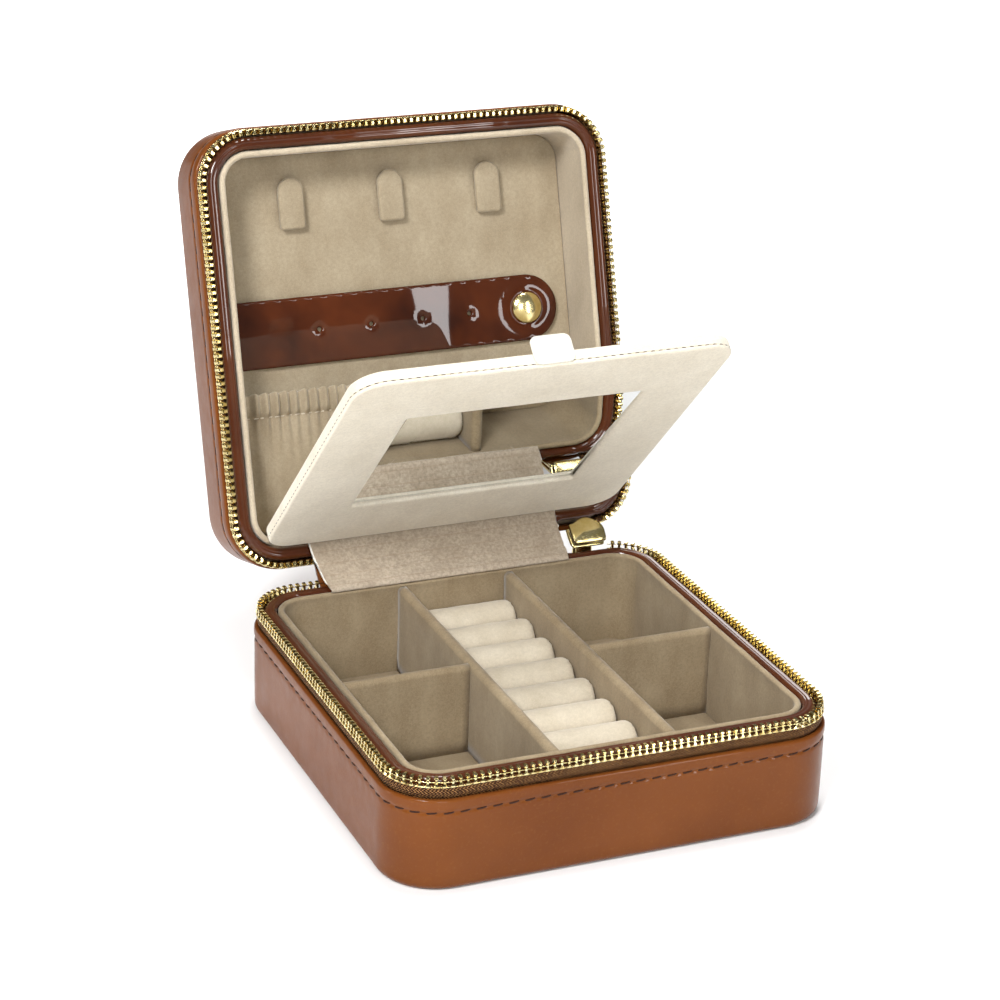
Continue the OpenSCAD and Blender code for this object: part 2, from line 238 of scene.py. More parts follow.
def plain(name, lo, hi, scale, rough, bump=0.2):
    m = Mat(name, Specular_IOR_Level=0.2)
    f = m.noise(scale, 3)
    m.colour(m.ramp(f, [(0.3, lo), (0.7, hi)]))
    m.rough(m.ramp(f, [(0.3, rough), (0.7, min(1, rough + 0.12))]))
    m.bump(f, bump, 0.0001)
    return m.mat


def frayed(name, lo, hi):
    """Velvet with a faint woven rib and pale cut edges; the pattern UV runs in mm from the cut."""
    m = Mat(name, Sheen_Weight=0.3, Sheen_Roughness=0.45, Specular_IOR_Level=0.15)
    u, v = m.uv()
    nap = m.noise(850, 3, 0.7)
    rib = m.math("SINE", m.math("MULTIPLY", v, 2 * pi / 0.8))
    c = m.ramp(m.noise(70, 3), [(0.3, lo), (0.7, hi)])
    c = m.mix(m.ramp(nap, [(0.34, 0.55), (0.62, 0.0)]), c, tuple(x * 0.5 for x in lo))
    row = m.math("ABSOLUTE", m.math("SUBTRACT", m.math("FRACT", m.math("DIVIDE", v, 5.2)), 0.5))
    c = m.mix(m.ramp(row, [(0.02, 0.30), (0.06, 0.0)]), c, (0.30, 0.22, 0.15))
    edge = m.math("ADD", u, m.math("MULTIPLY", m.noise(900, 2), 0.5))
    c = m.mix(m.ramp(edge, [(0.45, 1.0), (0.75, 0.0)]), c, (0.92, 0.90, 0.85))
    m.colour(c)
    m.b.inputs["Roughness"].default_value = 0.9
    m.bump(m.math("ADD", m.math("MULTIPLY", rib, 0.25), nap), 0.30, 0.0002)
    return m.mat


def silvered(name):
    m = Mat(name, Metallic=1.0, Roughness=0.02)
    m.colour(m.ramp(m.noise(12, 2), [(0.2, (0.86, 0.88, 0.88)), (0.8, (0.90, 0.92, 0.92))]))
    return m.mat


LEATHER = leather("tan_leather", (0.130, 0.036, 0.006), (0.170, 0.050, 0.009), (0.22, 0.088, 0.02))
PATENT = patent("patent_leather", (0.050, 0.011, 0.003), (0.088, 0.022, 0.005))
STRAP = patent("patent_strap", (0.030, 0.006, 0.0015), (0.098, 0.022, 0.005), 0.6)
VELVET = velvet("beige_velvet", (0.315, 0.253, 0.168), (0.42, 0.352, 0.248))
# A darker, browner copy of the beige velvet for the whole inside of the base: painted shade for its deep
# compartments.
SHADED_TRAY = velvet("shaded_tray_velvet", (0.240, 0.178, 0.104), (0.345, 0.272, 0.172), sheen=0.2)
WALL = velvet("lid_wall_velvet", (0.42, 0.345, 0.245), (0.55, 0.47, 0.35))
PALE = velvet("cream_velvet", (0.69, 0.62, 0.495), (0.79, 0.725, 0.60), 0.9)
ROLL = velvet("roll_velvet", (0.49, 0.425, 0.32), (0.61, 0.545, 0.435), 0.7)
STRIP = frayed("strip_velvet", (0.43, 0.35, 0.262), (0.54, 0.455, 0.355))
TAPE = woven("zipper_tape")
GOLD = gold("gold_metal", (0.84, 0.68, 0.28), (0.95, 0.83, 0.45))
TOOTH = gold("tooth_metal", (0.50, 0.37, 0.12), (0.92, 0.80, 0.44), (0.08, 0.18))
THREAD = plain("thread", (0.016, 0.005, 0.002), (0.050, 0.018, 0.007), 2500, 0.6)
PALE_THREAD = plain("pale_thread", (0.50, 0.43, 0.33), (0.72, 0.66, 0.55), 2500, 0.7)
BOARD = plain("greyboard", (0.16, 0.12, 0.08), (0.22, 0.17, 0.12), 900, 0.85)
RIBBON = plain("cream_ribbon", (0.60, 0.575, 0.50), (0.72, 0.70, 0.63), 1800, 0.75)
MIRROR = silvered("silvered_glass")


# ---- mesh helpers: everything is drawn in mm and placed with a matrix ----
def make(name, verts, faces, where, body, mat, replaces=(), uv=None, sharp=False, ride=True):
    v = np.asarray(verts, float).reshape(-1, 3)
    m = np.array(where)
    v = (v @ m[:3, :3].T + m[:3, 3]) * 0.001
    me = bpy.data.meshes.new(name)
    me.from_pydata(v.tolist(), [], [list(f) for f in faces])
    me.update()
    if uv is not None:
        layer = me.uv_layers.new(name="pattern")
        layer.data.foreach_set("uv", np.asarray(uv, np.float32).ravel())
    bm = bmesh.new()
    bm.from_mesh(me)
    bmesh.ops.recalc_face_normals(bm, faces=bm.faces)
    bm.to_mesh(me)
    bm.free()
    me.polygons.foreach_set("use_smooth", [not sharp] * len(me.polygons))
    me.materials.append(mat)
    o = bpy.data.objects.new(name, me)
    bpy.context.scene.collection.objects.link(o)
    if ride:
        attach(o, body)
    if replaces:
        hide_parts(*replaces)
    return o


def grid(P, loop_s, loop_v, S=None, V=None, caps=False):
    """Faces and pattern UVs of an (n, m, 3) array of points."""
    n, m = P.shape[:2]
    S = np.arange(n + 1.0) if S is None else S
    V = np.arange(m + 1.0) if V is None else V
    faces, uv = [], []
    for i in range(n if loop_s else n - 1):
        a, b = i, (i + 1) % n
        for j in range(m if loop_v else m - 1):
            c, d = j, (j + 1) % m
            faces.append((a * m + c, b * m + c, b * m + d, a * m + d))
            uv += [(S[i], V[j]), (S[i + 1], V[j]), (S[i + 1], V[j + 1]), (S[i], V[j + 1])]
    if caps:
        for i in (0, n - 1):
            faces.append([i * m + j for j in range(m)])
            uv += [(S[min(i, len(S) - 1)], V[j]) for j in range(m)]
    return P.reshape(-1, 3), faces, uv


SIDE, ARC = 2 * (HALF - RAD), RAD * pi / 2
ROUND = 4 * (SIDE + ARC)
BACK = SIDE + ARC                       # where the back side starts, at x = +60


def on_loop(s, off):
    """A point on the case's outline, s mm round from the right side's front end, off mm outward."""
    q, r = divmod(s % ROUND, SIDE + ARC)
    if r < SIDE:
        x, y, nx, ny = HALF, r - SIDE / 2, 1.0, 0.0
    else:
        a = (r - SIDE) / RAD
        nx, ny = cos(a), sin(a)
        x, y = HALF - RAD + RAD * nx, HALF - RAD + RAD * ny
    x, y = x + off * nx, y + off * ny
    for _ in range(int(q)):
        x, y, nx, ny = -y, x, -ny, nx
    return x, y, nx, ny


def loop_steps(step, start=0.0, end=None):
    n = int(round(((ROUND if end is None else end) - start) / step))
    return [start + ((ROUND if end is None else end) - start) * i / n for i in range(n + (end is not None))]


def sweep(name, profile, steps, where, body, mat, replaces=(), closed=True, shape=None):
    """A closed profile of (offset, z) points carried round the case's outline."""
    P = np.zeros((len(steps), len(profile), 3))
    for i, s in enumerate(steps):
        for j, (o, z) in enumerate(profile):
            if shape:
                o, z = shape(s, j, o, z)
            x, y, _, _ = on_loop(s, o)
            P[i, j] = (x, y, z)
    V = np.concatenate([[0], np.cumsum([math.dist(profile[j], profile[(j + 1) % len(profile)])
                                        for j in range(len(profile))])])
    S = np.array(list(steps) + [ROUND if closed else steps[-1]])
    v, f, uv = grid(P, closed, True, S, V, caps=not closed)
    return make(name, v, f, where, body, mat, replaces, uv)


def arc(cx, cz, r, a0, a1, n):
    return [(cx + r * cos(radians(a0 + (a1 - a0) * i / n)), cz + r * sin(radians(a0 + (a1 - a0) * i / n)))
            for i in range(n + 1)]


def wob(x, y, z, size, seed=0.0):
    """Smooth noise from -1 to 1 with features of that size in mm."""
    return noise.noise(Vector((x / size + seed, y / size - seed, z / size + 3.7 * seed)))


def rrect(hx, hy, r, cx=0.0, cy=0.0, nc=10, ns=16):
    """Points and outward normals of a rounded rectangle, counter-clockwise."""
    out = []
    for q, (sx, sy) in enumerate(((1, 1), (-1, 1), (-1, -1), (1, -1))):
        for i in range(nc + 1):
            a = pi / 2 * (q + i / nc)
            out.append((cx + sx * (hx - r) + r * cos(a), cy + sy * (hy - r) + r * sin(a), cos(a), sin(a)))
        ex, ey, nx, ny = out[-1]
        nxt = ((-1, 1), (-1, -1), (1, -1), (1, 1))[q]
        a = pi / 2 * (q + 1)
        tx, ty = cx + nxt[0] * (hx - r) + r * cos(a), cy + nxt[1] * (hy - r) + r * sin(a)
        for i in range(1, ns):
            t = i / ns
            out.append((ex + (tx - ex) * t, ey + (ty - ey) * t, nx, ny))
    return out


def bands(n, count, start=0):
    """Quads that join count rings of n points each, the first ring beginning at point start."""
    return [(start + a * n + i, start + a * n + (i + 1) % n, start + (a + 1) * n + (i + 1) % n,
             start + (a + 1) * n + i) for a in range(count - 1) for i in range(n)]


def cushion(name, outline, z0, z1, edge, crown, where, body, mat, replaces=(), swap=None,
            bottom_edge=0.0, fuzz=0.06, seed=0.0, power=2.0, rings=7, recess=None):
    """A crowned pad over an outline: z0 is its back, z1 its face before the crown; sign gives the side."""
    up = 1 if z1 > z0 else -1
    cx = sum(p[0] for p in outline) / len(outline)
    cy = sum(p[1] for p in outline) / len(outline)
    layers = []
    ne = 5
    for i in range(ne + 1):                                  # bottom edge, round
        a = pi / 2 * i / ne
        layers.append((-bottom_edge * (1 - sin(a)), 1.0, z0 + up * bottom_edge * (1 - cos(a))))
    for i in range(ne + 1):                                  # top edge, round
        a = pi / 2 * i / ne
        layers.append((-edge * (1 - cos(a)), 1.0, z1 - up * edge * (1 - sin(a))))
    for i in range(1, rings + 1):
        layers.append((-edge, 1 - i / (rings + 0.35), z1))
    P = np.zeros((len(layers), len(outline), 3))
    for i, (off, k, z) in enumerate(layers):
        for j, (x, y, nx, ny) in enumerate(outline):
            px, py = x + off * nx, y + off * ny
            px, py = cx + (px - cx) * k, cy + (py - cy) * k
            lift = crown * (1 - k ** power) if i > ne else 0
            w = fuzz * wob(px, py, z, 9, seed) if i > 2 else 0
            P[i, j] = (px, py, z + up * (lift + w))
    v, f, _ = grid(P, False, True)
    n = len(outline)
    v = v.tolist() + [[cx, cy, z1 + up * crown]]
    last = (len(layers) - 1) * n
    f += [(last + j, last + (j + 1) % n, len(v) - 1) for j in range(n)]
    if recess:                                               # a well in the back, for a pane
        inner, depth = recess
        w0 = len(v)
        v += [[p[0], p[1], z0] for p in inner] + [[p[0], p[1], z0 + up * depth] for p in inner]
        for a, b in ((0, w0), (w0, w0 + n)):
            f += [(a + j, a + (j + 1) % n, b + (j + 1) % n, b + j) for j in range(n)]
        f.append(list(range(w0 + n, w0 + 2 * n)))
    else:
        f.append(list(range(n)))
    if swap:
        v = [swap(*p) for p in v]
    return make(name, v, f, where, body, mat, replaces)


def bar(name, section, stations, where, body, mat, replaces=(), place=None, fuzz=0.06, seed=0.0,
        tips=0.0):
    """A closed cross-section (a, z) carried along stations (t, scale); place turns (t, a, z) into x, y, z."""
    cz = sum(p[1] for p in section) / len(section)
    P = np.zeros((len(stations), len(section), 3))
    for i, (t, k) in enumerate(stations):
        for j, (a, z) in enumerate(section):
            x, y, zz = place(t, a * k, cz + (z - cz) * (1 - (1 - k) * tips))
            w = fuzz * wob(x, y, zz, 8, seed)
            r = math.hypot(a, z - cz) or 1
            x2, y2, z2 = place(t, a * k + w * a / r, cz + (z - cz) * (1 - (1 - k) * tips) + w * (z - cz) / r)
            P[i, j] = (x2, y2, z2)
    v, f, uv = grid(P, False, True, caps=True)
    return make(name, v, f, where, body, mat, replaces, uv)


def merged(items):
    """Joins copies of one small mesh: items are (verts, faces)."""
    V, F, n = [], [], 0
    for v, f in items:
        V.append(np.asarray(v, float))
        F += [tuple(i + n for i in face) for face in f]
        n += len(v)
    return np.concatenate(V), F


def capsule(length, r, n=8, flat=0.75):
    """A stitch lying along x, r thick, whose ends dip into the cloth."""
    prof = [(-0.5, 0.05), (-0.47, 0.55), (-0.36, 0.92), (0, 1.0), (0.36, 0.92), (0.47, 0.55), (0.5, 0.05)]
    v = []
    for t, k in prof:
        dip = -r * 0.9 * (2 * abs(t)) ** 3
        v += [(t * length, r * k * cos(2 * pi * i / n), dip + flat * r * k * sin(2 * pi * i / n))
              for i in range(n)]
    f = bands(n, len(prof))
    f += [tuple(range(n)), tuple(range((len(prof) - 1) * n, len(prof) * n))]
    return np.array(v), f


def put(v, origin, ax, ay, az):
    m = np.array([ax, ay, az], float)
    return v @ m + np.array(origin)


def use(node, mat, bevel=0.0):
    o = nodes[node]
    o.data.materials.clear()
    o.data.materials.append(mat)
    if bevel:
        b = o.modifiers.new("edge", "BEVEL")
        b.width, b.segments, b.limit_method = bevel * 0.001, 3, "ANGLE"
    return o


# ---- leather shells ----
STITCHES = 108
BASE_STITCH, LID_STITCH = 28.5, 18.6    # height of each row of stitches in its half
PITCH = ROUND / STITCHES


def leather_shell(name, top, stitch, where, body, replaces):
    """A half of the case outside: turned under at the foot, pulled in along its stitches."""
    prof = [(-8.1, 1.75), (-8.15, 0.35), (-7.7, 0.0), (-5.5, -0.0)] + arc(-3.2, 3.2, 3.2, -90, 0, 7)
    z = 5.0
    while z < stitch - 3.2:
        prof.append((0.12 * sin(pi * (z - 3.2) / (stitch - 3.2)), z))
        z += 2.6
    prof += [(0.08, stitch + d) for d in (-2.6, -1.8, -1.2, -0.7, -0.3, 0.0, 0.3, 0.7, 1.2, 1.8, 2.6, 3.4)]
    prof += arc(-0.85, top - 0.95, 0.95, 8, 172, 8) + [(-1.8, top - 3), (-1.8, 8.0), (-1.8, 3.6), (-3.4, 1.8)]

    def shape(s, j, o, zz):
        if o > -0.5 and zz > 3.3:
            t = cos(2 * pi * s / PITCH)
            d = (zz - stitch)
            o -= (0.34 + 0.14 * t) * exp(-(d / 0.75) ** 2)
            o += 0.05 * t * exp(-((abs(d) - 1.5) / 1.0) ** 2) + 0.16 * exp(-((d - 2.6) / 1.5) ** 2)
            o += 0.05 * wob(*on_loop(s, 0)[:2], zz, 11)
        return o, zz
    return sweep(name, prof, loop_steps(PITCH / 5), where, body, LEATHER, replaces,
                 shape=shape)


leather_shell("base_leather", 33.2, BASE_STITCH, HERE, "case_base", ["base_leather_wall"])
leather_shell("lid_leather", 24.4, LID_STITCH, LID_HALF, "lid", ["lid_leather_wall"])


def stitch_run(name, z, where, body, replaces):
    """Slanting stitches, one to a pitch, all the way round."""
    cv, cf = capsule(PITCH * 0.66, 0.36)
    items = []
    for i in range(STITCHES):
        s = (i + 0.5) * PITCH
        x, y, nx, ny = on_loop(s, -0.10)
        tilt = radians(7)
        ax = (-ny * cos(tilt), nx * cos(tilt), sin(tilt))
        ay = (ny * sin(tilt), -nx * sin(tilt), cos(tilt))
        items.append((put(cv, (x, y, z), ax, ay, (nx, ny, 0)), cf))
    v, f = merged(items)
    return make(name, v, f, where, body, THREAD, replaces)


stitch_run("base_stitches", BASE_STITCH, HERE, "case_base", ["base_stitching"])
stitch_run("lid_stitches", LID_STITCH, LID_HALF, "lid", ["lid_stitching"])

plate = rrect(HALF - 8.25, HALF - 8.25, RAD - 8.25)
cushion("base_underside", plate, 1.7, 0.0, 0.5, 0.0, HERE, "case_base", LEATHER,
        ["base_bottom_cover"], fuzz=0.0)
cushion("lid_cover", plate, 1.7, -0.1, 0.9, 0.55, LID_HALF, "lid", LEATHER,
        ["lid_top_cover"], fuzz=0.05, power=6)
for n in ("base_core", "lid_core"):
    use(n, BOARD)

# ---- zipper ----
GAP_L, GAP_R = -48.5, 64.5              # the zipper's two ends along the back
CHAIN_START = BACK + (HALF - RAD) - GAP_L
CHAIN_END = ROUND + SIDE + RAD * math.acos((GAP_R - HALF + RAD) / (RAD - 1.9))


def tape(name, h, bulge, where, body, replaces):
    """Half of the zipper tape, open at the back where the hinge is."""
    prof = [(-2.55, h - 10.8), (-2.55, h - 7.6), (-2.6, h - 5.4), (-2.75, h - 4.0), (-1.9, h - 3.3)]
    for z, k in ((-3.7, 0.85), (-4.4, 1.0), (-5.2, 1.05), (-6.0, 0.98), (-6.8, 0.75), (-7.5, 0.3)):
        prof.append((-1.9 + bulge * k, h + z))
    prof += [(-1.9, h - 8.2), (-1.95, h - 10.8)]
    return sweep(name, prof, loop_steps(1.3, CHAIN_START, CHAIN_END), where, body, TAPE,
                 replaces, closed=False)


tape("base_tape", BASE_H, 1.1, HERE, "case_base", ["base_zipper_tape"])
tape("lid_tape", LID_H, 0.5, LID_HALF, "lid", ["lid_zipper_tape"])


def tooth_mesh():
    """One tooth pointing up: feet clamped on the tape, a waist, and a dimpled head."""
    levels = [(-3.75, 0.50, 0.95), (-3.6, 0.74, 1.15), (-3.1, 0.78, 1.2), (-2.8, 0.50, 1.12),
              (-2.3, 0.36, 1.02), (-2.0, 0.38, 1.02), (-1.6, 0.52, 1.06), (-1.25, 0.34, 0.98),
              (-1.0, 0.50, 1.02), (-0.75, 0.68, 1.06), (-0.3, 0.66, 0.94), (-0.04, 0.42, 0.60)]
    v = []
    for z, w, d in levels:
        c = min(w, d) * 0.34
        v += [(d, w - c, z), (d - c, w, z), (-d + c, w, z), (-d, w - c, z),
              (-d, -w + c, z), (-d + c, -w, z), (d - c, -w, z), (d, -w + c, z)]
    ends = [tuple(range(8)), tuple(range(len(levels) * 8 - 8, len(levels) * 8))]
    return np.array(v, float), bands(8, len(levels)) + ends


def rails(name, h, where, body):
    """The two gold threads that run along the chain between and under the teeth."""
    for k, (z, r, off) in enumerate(((-1.65, 0.20, -0.88), (-3.4, 0.24, -0.80)), 1):
        prof = [(off + r * cos(2 * pi * i / 8), h - 0.2 + z + r * sin(2 * pi * i / 8)) for i in range(8)]

        def ripple(s, j, o, zz, off=off, zc=h - 0.2 + z):
            g = 0.86 + 0.22 * cos(2 * pi * s / 1.25)
            return off + (o - off) * g, zc + (zz - zc) * g
        sweep("%s_%d" % (name, k), prof, loop_steps(0.42, CHAIN_START, CHAIN_END), where, body, TOOTH,
              closed=False, shape=ripple)


def teeth(name, h, shift, where, body, replaces):
    """The chain of teeth; shift staggers one half against the other."""
    tv, tf = tooth_mesh()
    items = []
    count, bend = 48, 11
    for q in range(4):
        places = [q * BACK + SIDE * (i + 0.5 + shift) / count for i in range(count)]
        places = [s for s in places if s < q * BACK + SIDE + 0.01]
        places += [q * BACK + SIDE + ARC * (j + 0.5 + shift) / bend for j in range(bend)
                   if j + 0.5 + shift < bend + 0.01]
        for s in places:
            x, y, nx, ny = on_loop(s, -1.9)
            if y > HALF - 8 and GAP_L - 0.8 < x < GAP_R + 0.8:
                continue
            lean = radians(5)
            az = (-nx * sin(lean), -ny * sin(lean), cos(lean))
            ax = (nx * cos(lean), ny * cos(lean), sin(lean))
            items.append((put(tv, (x, y, h - 0.2), ax, (-ny, nx, 0), az), tf))
    v, f = merged(items)
    return make(name, v, f, where, body, TOOTH, replaces, sharp=True)


teeth("base_teeth", BASE_H, 0.0, HERE, "case_base", ["base_zipper_teeth"])
teeth("lid_teeth", LID_H, 0.5, LID_HALF, "lid", ["lid_zipper_teeth"])
rails("base_chain_rail", BASE_H, HERE, "case_base")
rails("lid_chain_rail", LID_H, LID_HALF, "lid")


# ---- patent rim and lining ----
def patent_rim(name, h, where, body, replaces):
    """A double-rolled patent rim, scooped out behind the slider."""
    prof = []
    for i in range(21):
        a = radians(-8 + 196 * i / 20)
        x = 2.32 * cos(a)
        prof.append((-5.7 + x, h - 3.7 + 2.35 * sin(a) - 0.42 * exp(-((x + 0.1) / 0.5) ** 2)))
    prof += [(-7.95, h - 7.9), (-3.5, h - 7.9)]

    def shape(s, j, o, z):
        x, y, _, _ = on_loop(s, o)
        scoop = 0.0
        if y > 60 and z > h - 7 and o > -5.5:
            scoop = 0.95 * exp(-(max(0, abs(x - SLIDER_X) - 7) / 1.5) ** 2)
        return o + 0.05 * wob(x, y, z, 7) - scoop, z + 0.06 * wob(x, y, z, 9, 5)
    return sweep(name, prof, loop_steps(1.6), where, body, PATENT, replaces, shape=shape)


patent_rim("base_piping", BASE_H, HERE, "case_base", ["base_patent_rim"])
patent_rim("lid_piping", LID_H, LID_HALF, "lid", ["lid_patent_rim"])


def lining(name, h, rim, where, body, replaces, cut=None):
    """Velvet walls with a rolled rim, cut lower at the lid's hinge side."""
    prof = [(-10.45, 3.5)]
    n = 12
    for i in range(n + 1):
        z = 4.2 + (rim - 1.6 - 4.2) * i / n
        prof.append((-10.4 - 0.30 * sin(pi * i / n), z))
    prof += arc(-9.45, rim - 1.15, 1.12, 172, 8, 8) + [(-8.4, rim - 3), (-8.5, h - 10), (-8.6, 3.5)]

    def shape(s, j, o, z):
        x, y, _, _ = on_loop(s, o)
        if cut and y > 60 and z > 18:
            k = 1 / (1 + exp((abs(x) - 64.5) * 2.2))
            z = 18 + (z - 18) * (1 - k * (1 - (cut - 18) / (rim - 18)))
        w = 0.10 * wob(x, y, z, 10, 1) + 0.05 * wob(x, y, z, 4, 2)
        corner = (s % BACK) > SIDE
        if corner and o < -9.6 and z < rim - 3:
            w += 0.10 * sin((s % BACK - SIDE) / ARC * pi * 5) * (z / rim)
        return o + w, z + (0.12 * wob(x, y, 0, 14, 3) if z > rim - 4 else 0)
    # The base's lining takes the darker velvet copy, painted shade for its compartments; the lid's lining
    # takes the lighter wall velvet.
    velvet_ = SHADED_TRAY if body == "case_base" else WALL
    return sweep(name, prof, loop_steps(2.0), where, body, velvet_, replaces, shape=shape)


lining("base_lining", BASE_H, 39.1, HERE, "case_base", ["base_lining_walls"])
lining("lid_lining", LID_H, 28.2, LID_HALF, "lid", ["lid_lining_walls"], cut=21.8)

inside = rrect(69.4, 69.4, 9.4)
# The base's floor is in the darker velvet copy: painted shade.
cushion("base_floor", inside, 3.4, 4.5, 0.4, 0.15, HERE, "case_base", SHADED_TRAY,
                  ["base_lining_floor"], fuzz=0.08, seed=4)
cushion("lid_panel", inside, 3.4, LID_H - PANEL, 0.4, 0.15, LID_HALF, "lid", VELVET,
                  ["lid_lining_panel"], fuzz=0.10, seed=6)


# ---- dividers and ring rolls ----
def divider_section(z0, z1, t):
    h = t / 2
    side = [(h * (1 - 0.05 * sin(pi * i / 6)), z0 + (z1 - h - z0) * i / 6) for i in range(7)]
    return side + arc(0, z1 - h, h, 12, 168, 9) + [(-a, z) for a, z in reversed(side)]


def stations(a, b, n, soft=0.0, reach=2.5):
    out = []
    for i in range(n + 1):
        t = a + (b - a) * i / n
        d = min(t - a, b - t)
        out.append((t, 1 - soft * (1 - min(1, d / reach)) ** 2))
    return out


lo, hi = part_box("divider_long_left")
DIV_X, DIV_TOP, DIV_T = -(lo.x + hi.x) * 500, hi.z * 1000, (hi.x - lo.x) * 1000
# The dividers and the roll bed are in the darker velvet copy: painted shade in the compartments.
for side, label in ((-1, "left"), (1, "right")):
    o = bar("long_divider_" + label, divider_section(4.4, DIV_TOP, DIV_T), stations(-69.6, 69.6, 46), HERE,
            "case_base", SHADED_TRAY, ["divider_long_" + label],
            place=lambda t, a, z, s=side: (s * DIV_X + a, t, z), seed=side)
    a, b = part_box("divider_cross_" + label)
    y = (a.y + b.y) * 500
    o = bar("cross_divider_" + label, divider_section(4.4, b.z * 1000, DIV_T - 0.3),
            stations(a.x * 1000 - 0.3, b.x * 1000 + 0.3, 16), HERE, "case_base", SHADED_TRAY,
            ["divider_cross_" + label], place=lambda t, c, z, y=y: (t, y + c, z), seed=side + 5)

a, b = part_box("ring_roll_bed")
bed = [(68.9, 4.5), (69.0, 8), (68.6, 11.6), (67.8, 12.0)]
bed = bed + [(-x, z) for x, z in reversed(bed)]
o = bar("roll_bed", bed, stations(a.x * 1000, b.x * 1000, 12), HERE, "case_base", SHADED_TRAY,
        ["ring_roll_bed"], place=lambda t, c, z: (t, c, z))


def swell(o, voxel, pressure, cap, keep):
    """Inflates a pad a little with Blender's cloth at ten times its size, then freezes the result.
    keep(x, y, z) in mm says how far a point may move, from 0 to 1."""
    me = o.data
    co = np.empty(len(me.vertices) * 3)
    me.vertices.foreach_get("co", co)
    me.vertices.foreach_set("co", co * 10)
    m = o.modifiers.new("remesh", "REMESH")
    m.mode, m.voxel_size, m.use_smooth_shade = "VOXEL", voxel * 0.01, True
    deps = bpy.context.evaluated_depsgraph_get()
    fresh = bpy.data.meshes.new_from_object(o.evaluated_get(deps))
    o.modifiers.clear()
    o.data = fresh
    start = np.empty(len(fresh.vertices) * 3)
    fresh.vertices.foreach_get("co", start)
    start = start.reshape(-1, 3)
    free = np.array([keep(*(p * 100)) for p in start])
    pin = o.vertex_groups.new(name="pin")
    for i, k in enumerate(free):
        pin.add([i], float(1 - k), "REPLACE")
    c = o.modifiers.new("cloth", "CLOTH")
    c.settings.quality, c.settings.mass = 6, 0.3
    c.settings.tension_stiffness = c.settings.compression_stiffness = 12
    c.settings.bending_stiffness = 1.5
    c.settings.use_pressure, c.settings.uniform_pressure_force = True, pressure
    c.settings.effector_weights.gravity = 0
    c.settings.vertex_group_mass = "pin"
    c.point_cache.frame_start, c.point_cache.frame_end = 1, 20
    for f in range(1, 21):
        bpy.context.scene.frame_set(f)
    deps = bpy.context.evaluated_depsgraph_get()
    puffed = o.evaluated_get(deps).to_mesh()
    end = np.empty(len(start) * 3)
    puffed.vertices.foreach_get("co", end)
    move = end.reshape(-1, 3) - start
    far = np.maximum(np.linalg.norm(move, axis=1, keepdims=True), 1e-9)
    start = start + move * np.minimum(1, cap * 0.01 / far)
    o.modifiers.clear()
    o.vertex_groups.clear()
    bpy.context.scene.frame_set(1)
    fresh.vertices.foreach_set("co", (start * 0.1).ravel())
    fresh.materials.clear()
    fresh.materials.append(me.materials[0])
    fresh.polygons.foreach_set("use_smooth", [True] * len(fresh.polygons))
    fresh.update()
    return o


def rolls():
    """One stuffed roll is inflated, and its shape is used for all eight with small differences."""
    a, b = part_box("ring_roll_1")
    r, top = (b.y - a.y) * 500 - 0.55, b.z * 1000 - 0.5
    sec = [(r * 0.95, 12.0), (r * 0.99, 16.0)] + arc(0, top - r, r, 0, 180, 18)
    sec += [(-r * 0.99, 16.0), (-r * 0.95, 12.0)]
    st = stations(a.x * 1000 + 0.5, b.x * 1000 - 0.5, 22, 0.12, 2.0)
    first = bar("roll_1", sec, st, HERE, "case_base", ROLL, ["ring_roll_1"],
                place=lambda t, c, z: (t, c, z), fuzz=0.05, tips=0.8)
    swell(first, 0.75, 4.0, 0.5, lambda x, y, z: min(1, max(0, (z - 12.2) / 2.5)))
    co = np.empty(len(first.data.vertices) * 3)
    first.data.vertices.foreach_get("co", co)
    co = co.reshape(-1, 3)
    for i in range(1, 9):
        a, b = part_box("ring_roll_%d" % i)
        o = first
        if i > 1:
            o = bpy.data.objects.new("roll_%d" % i, first.data.copy())
            bpy.context.scene.collection.objects.link(o)
            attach(o, "case_base")
            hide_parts("ring_roll_%d" % i)
        lump = np.array([0.10 * wob(x * 1000, y * 1000, z * 1000, 7, i * 1.3) for x, y, z in co]) * 0.001
        new = co.copy()
        new[:, 1] = (a.y + b.y) / 2 + co[:, 1] * (1 + lump * 100)
        new[:, 2] += lump * (co[:, 2] > 0.014)
        o.data.vertices.foreach_set("co", new.ravel())
        o.data.update()


rolls()

# ---- lid fittings ----
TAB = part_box("necklace_tab_2")
tab_w = (TAB[1].x - TAB[0].x) * 500
TAB_LOW, TAB_TOP, TAB_FOOT = 125, 144, 130


def tab_outline(cx, u0, u1, r, c=1.6):
    """A tongue, round at the top, with softly squared lower corners."""
    pts = [(cx + r * cos(pi * i / 24), u1 - r + r * sin(pi * i / 24), cos(pi * i / 24), sin(pi * i / 24))
           for i in range(25)]
    pts += [(cx - r, u1 - r - (u1 - r - u0 - c) * i / 10, -1, 0) for i in range(1, 10)]
    for ox, a0 in ((c - r, pi), (r - c, 1.5 * pi)):
        pts += [(cx + ox + c * cos(a0 + pi / 2 * i / 5), u0 + c + c * sin(a0 + pi / 2 * i / 5),
                 cos(a0 + pi / 2 * i / 5), sin(a0 + pi / 2 * i / 5)) for i in range(6)]
        if ox < 0:
            pts += [(cx + ox + 2 * (r - c) * i / 6, u0, 0, -1) for i in range(1, 6)]
    return pts + [(cx + r, u0 + c + (u1 - r - u0 - c) * i / 10, 1, 0) for i in range(1, 10)]


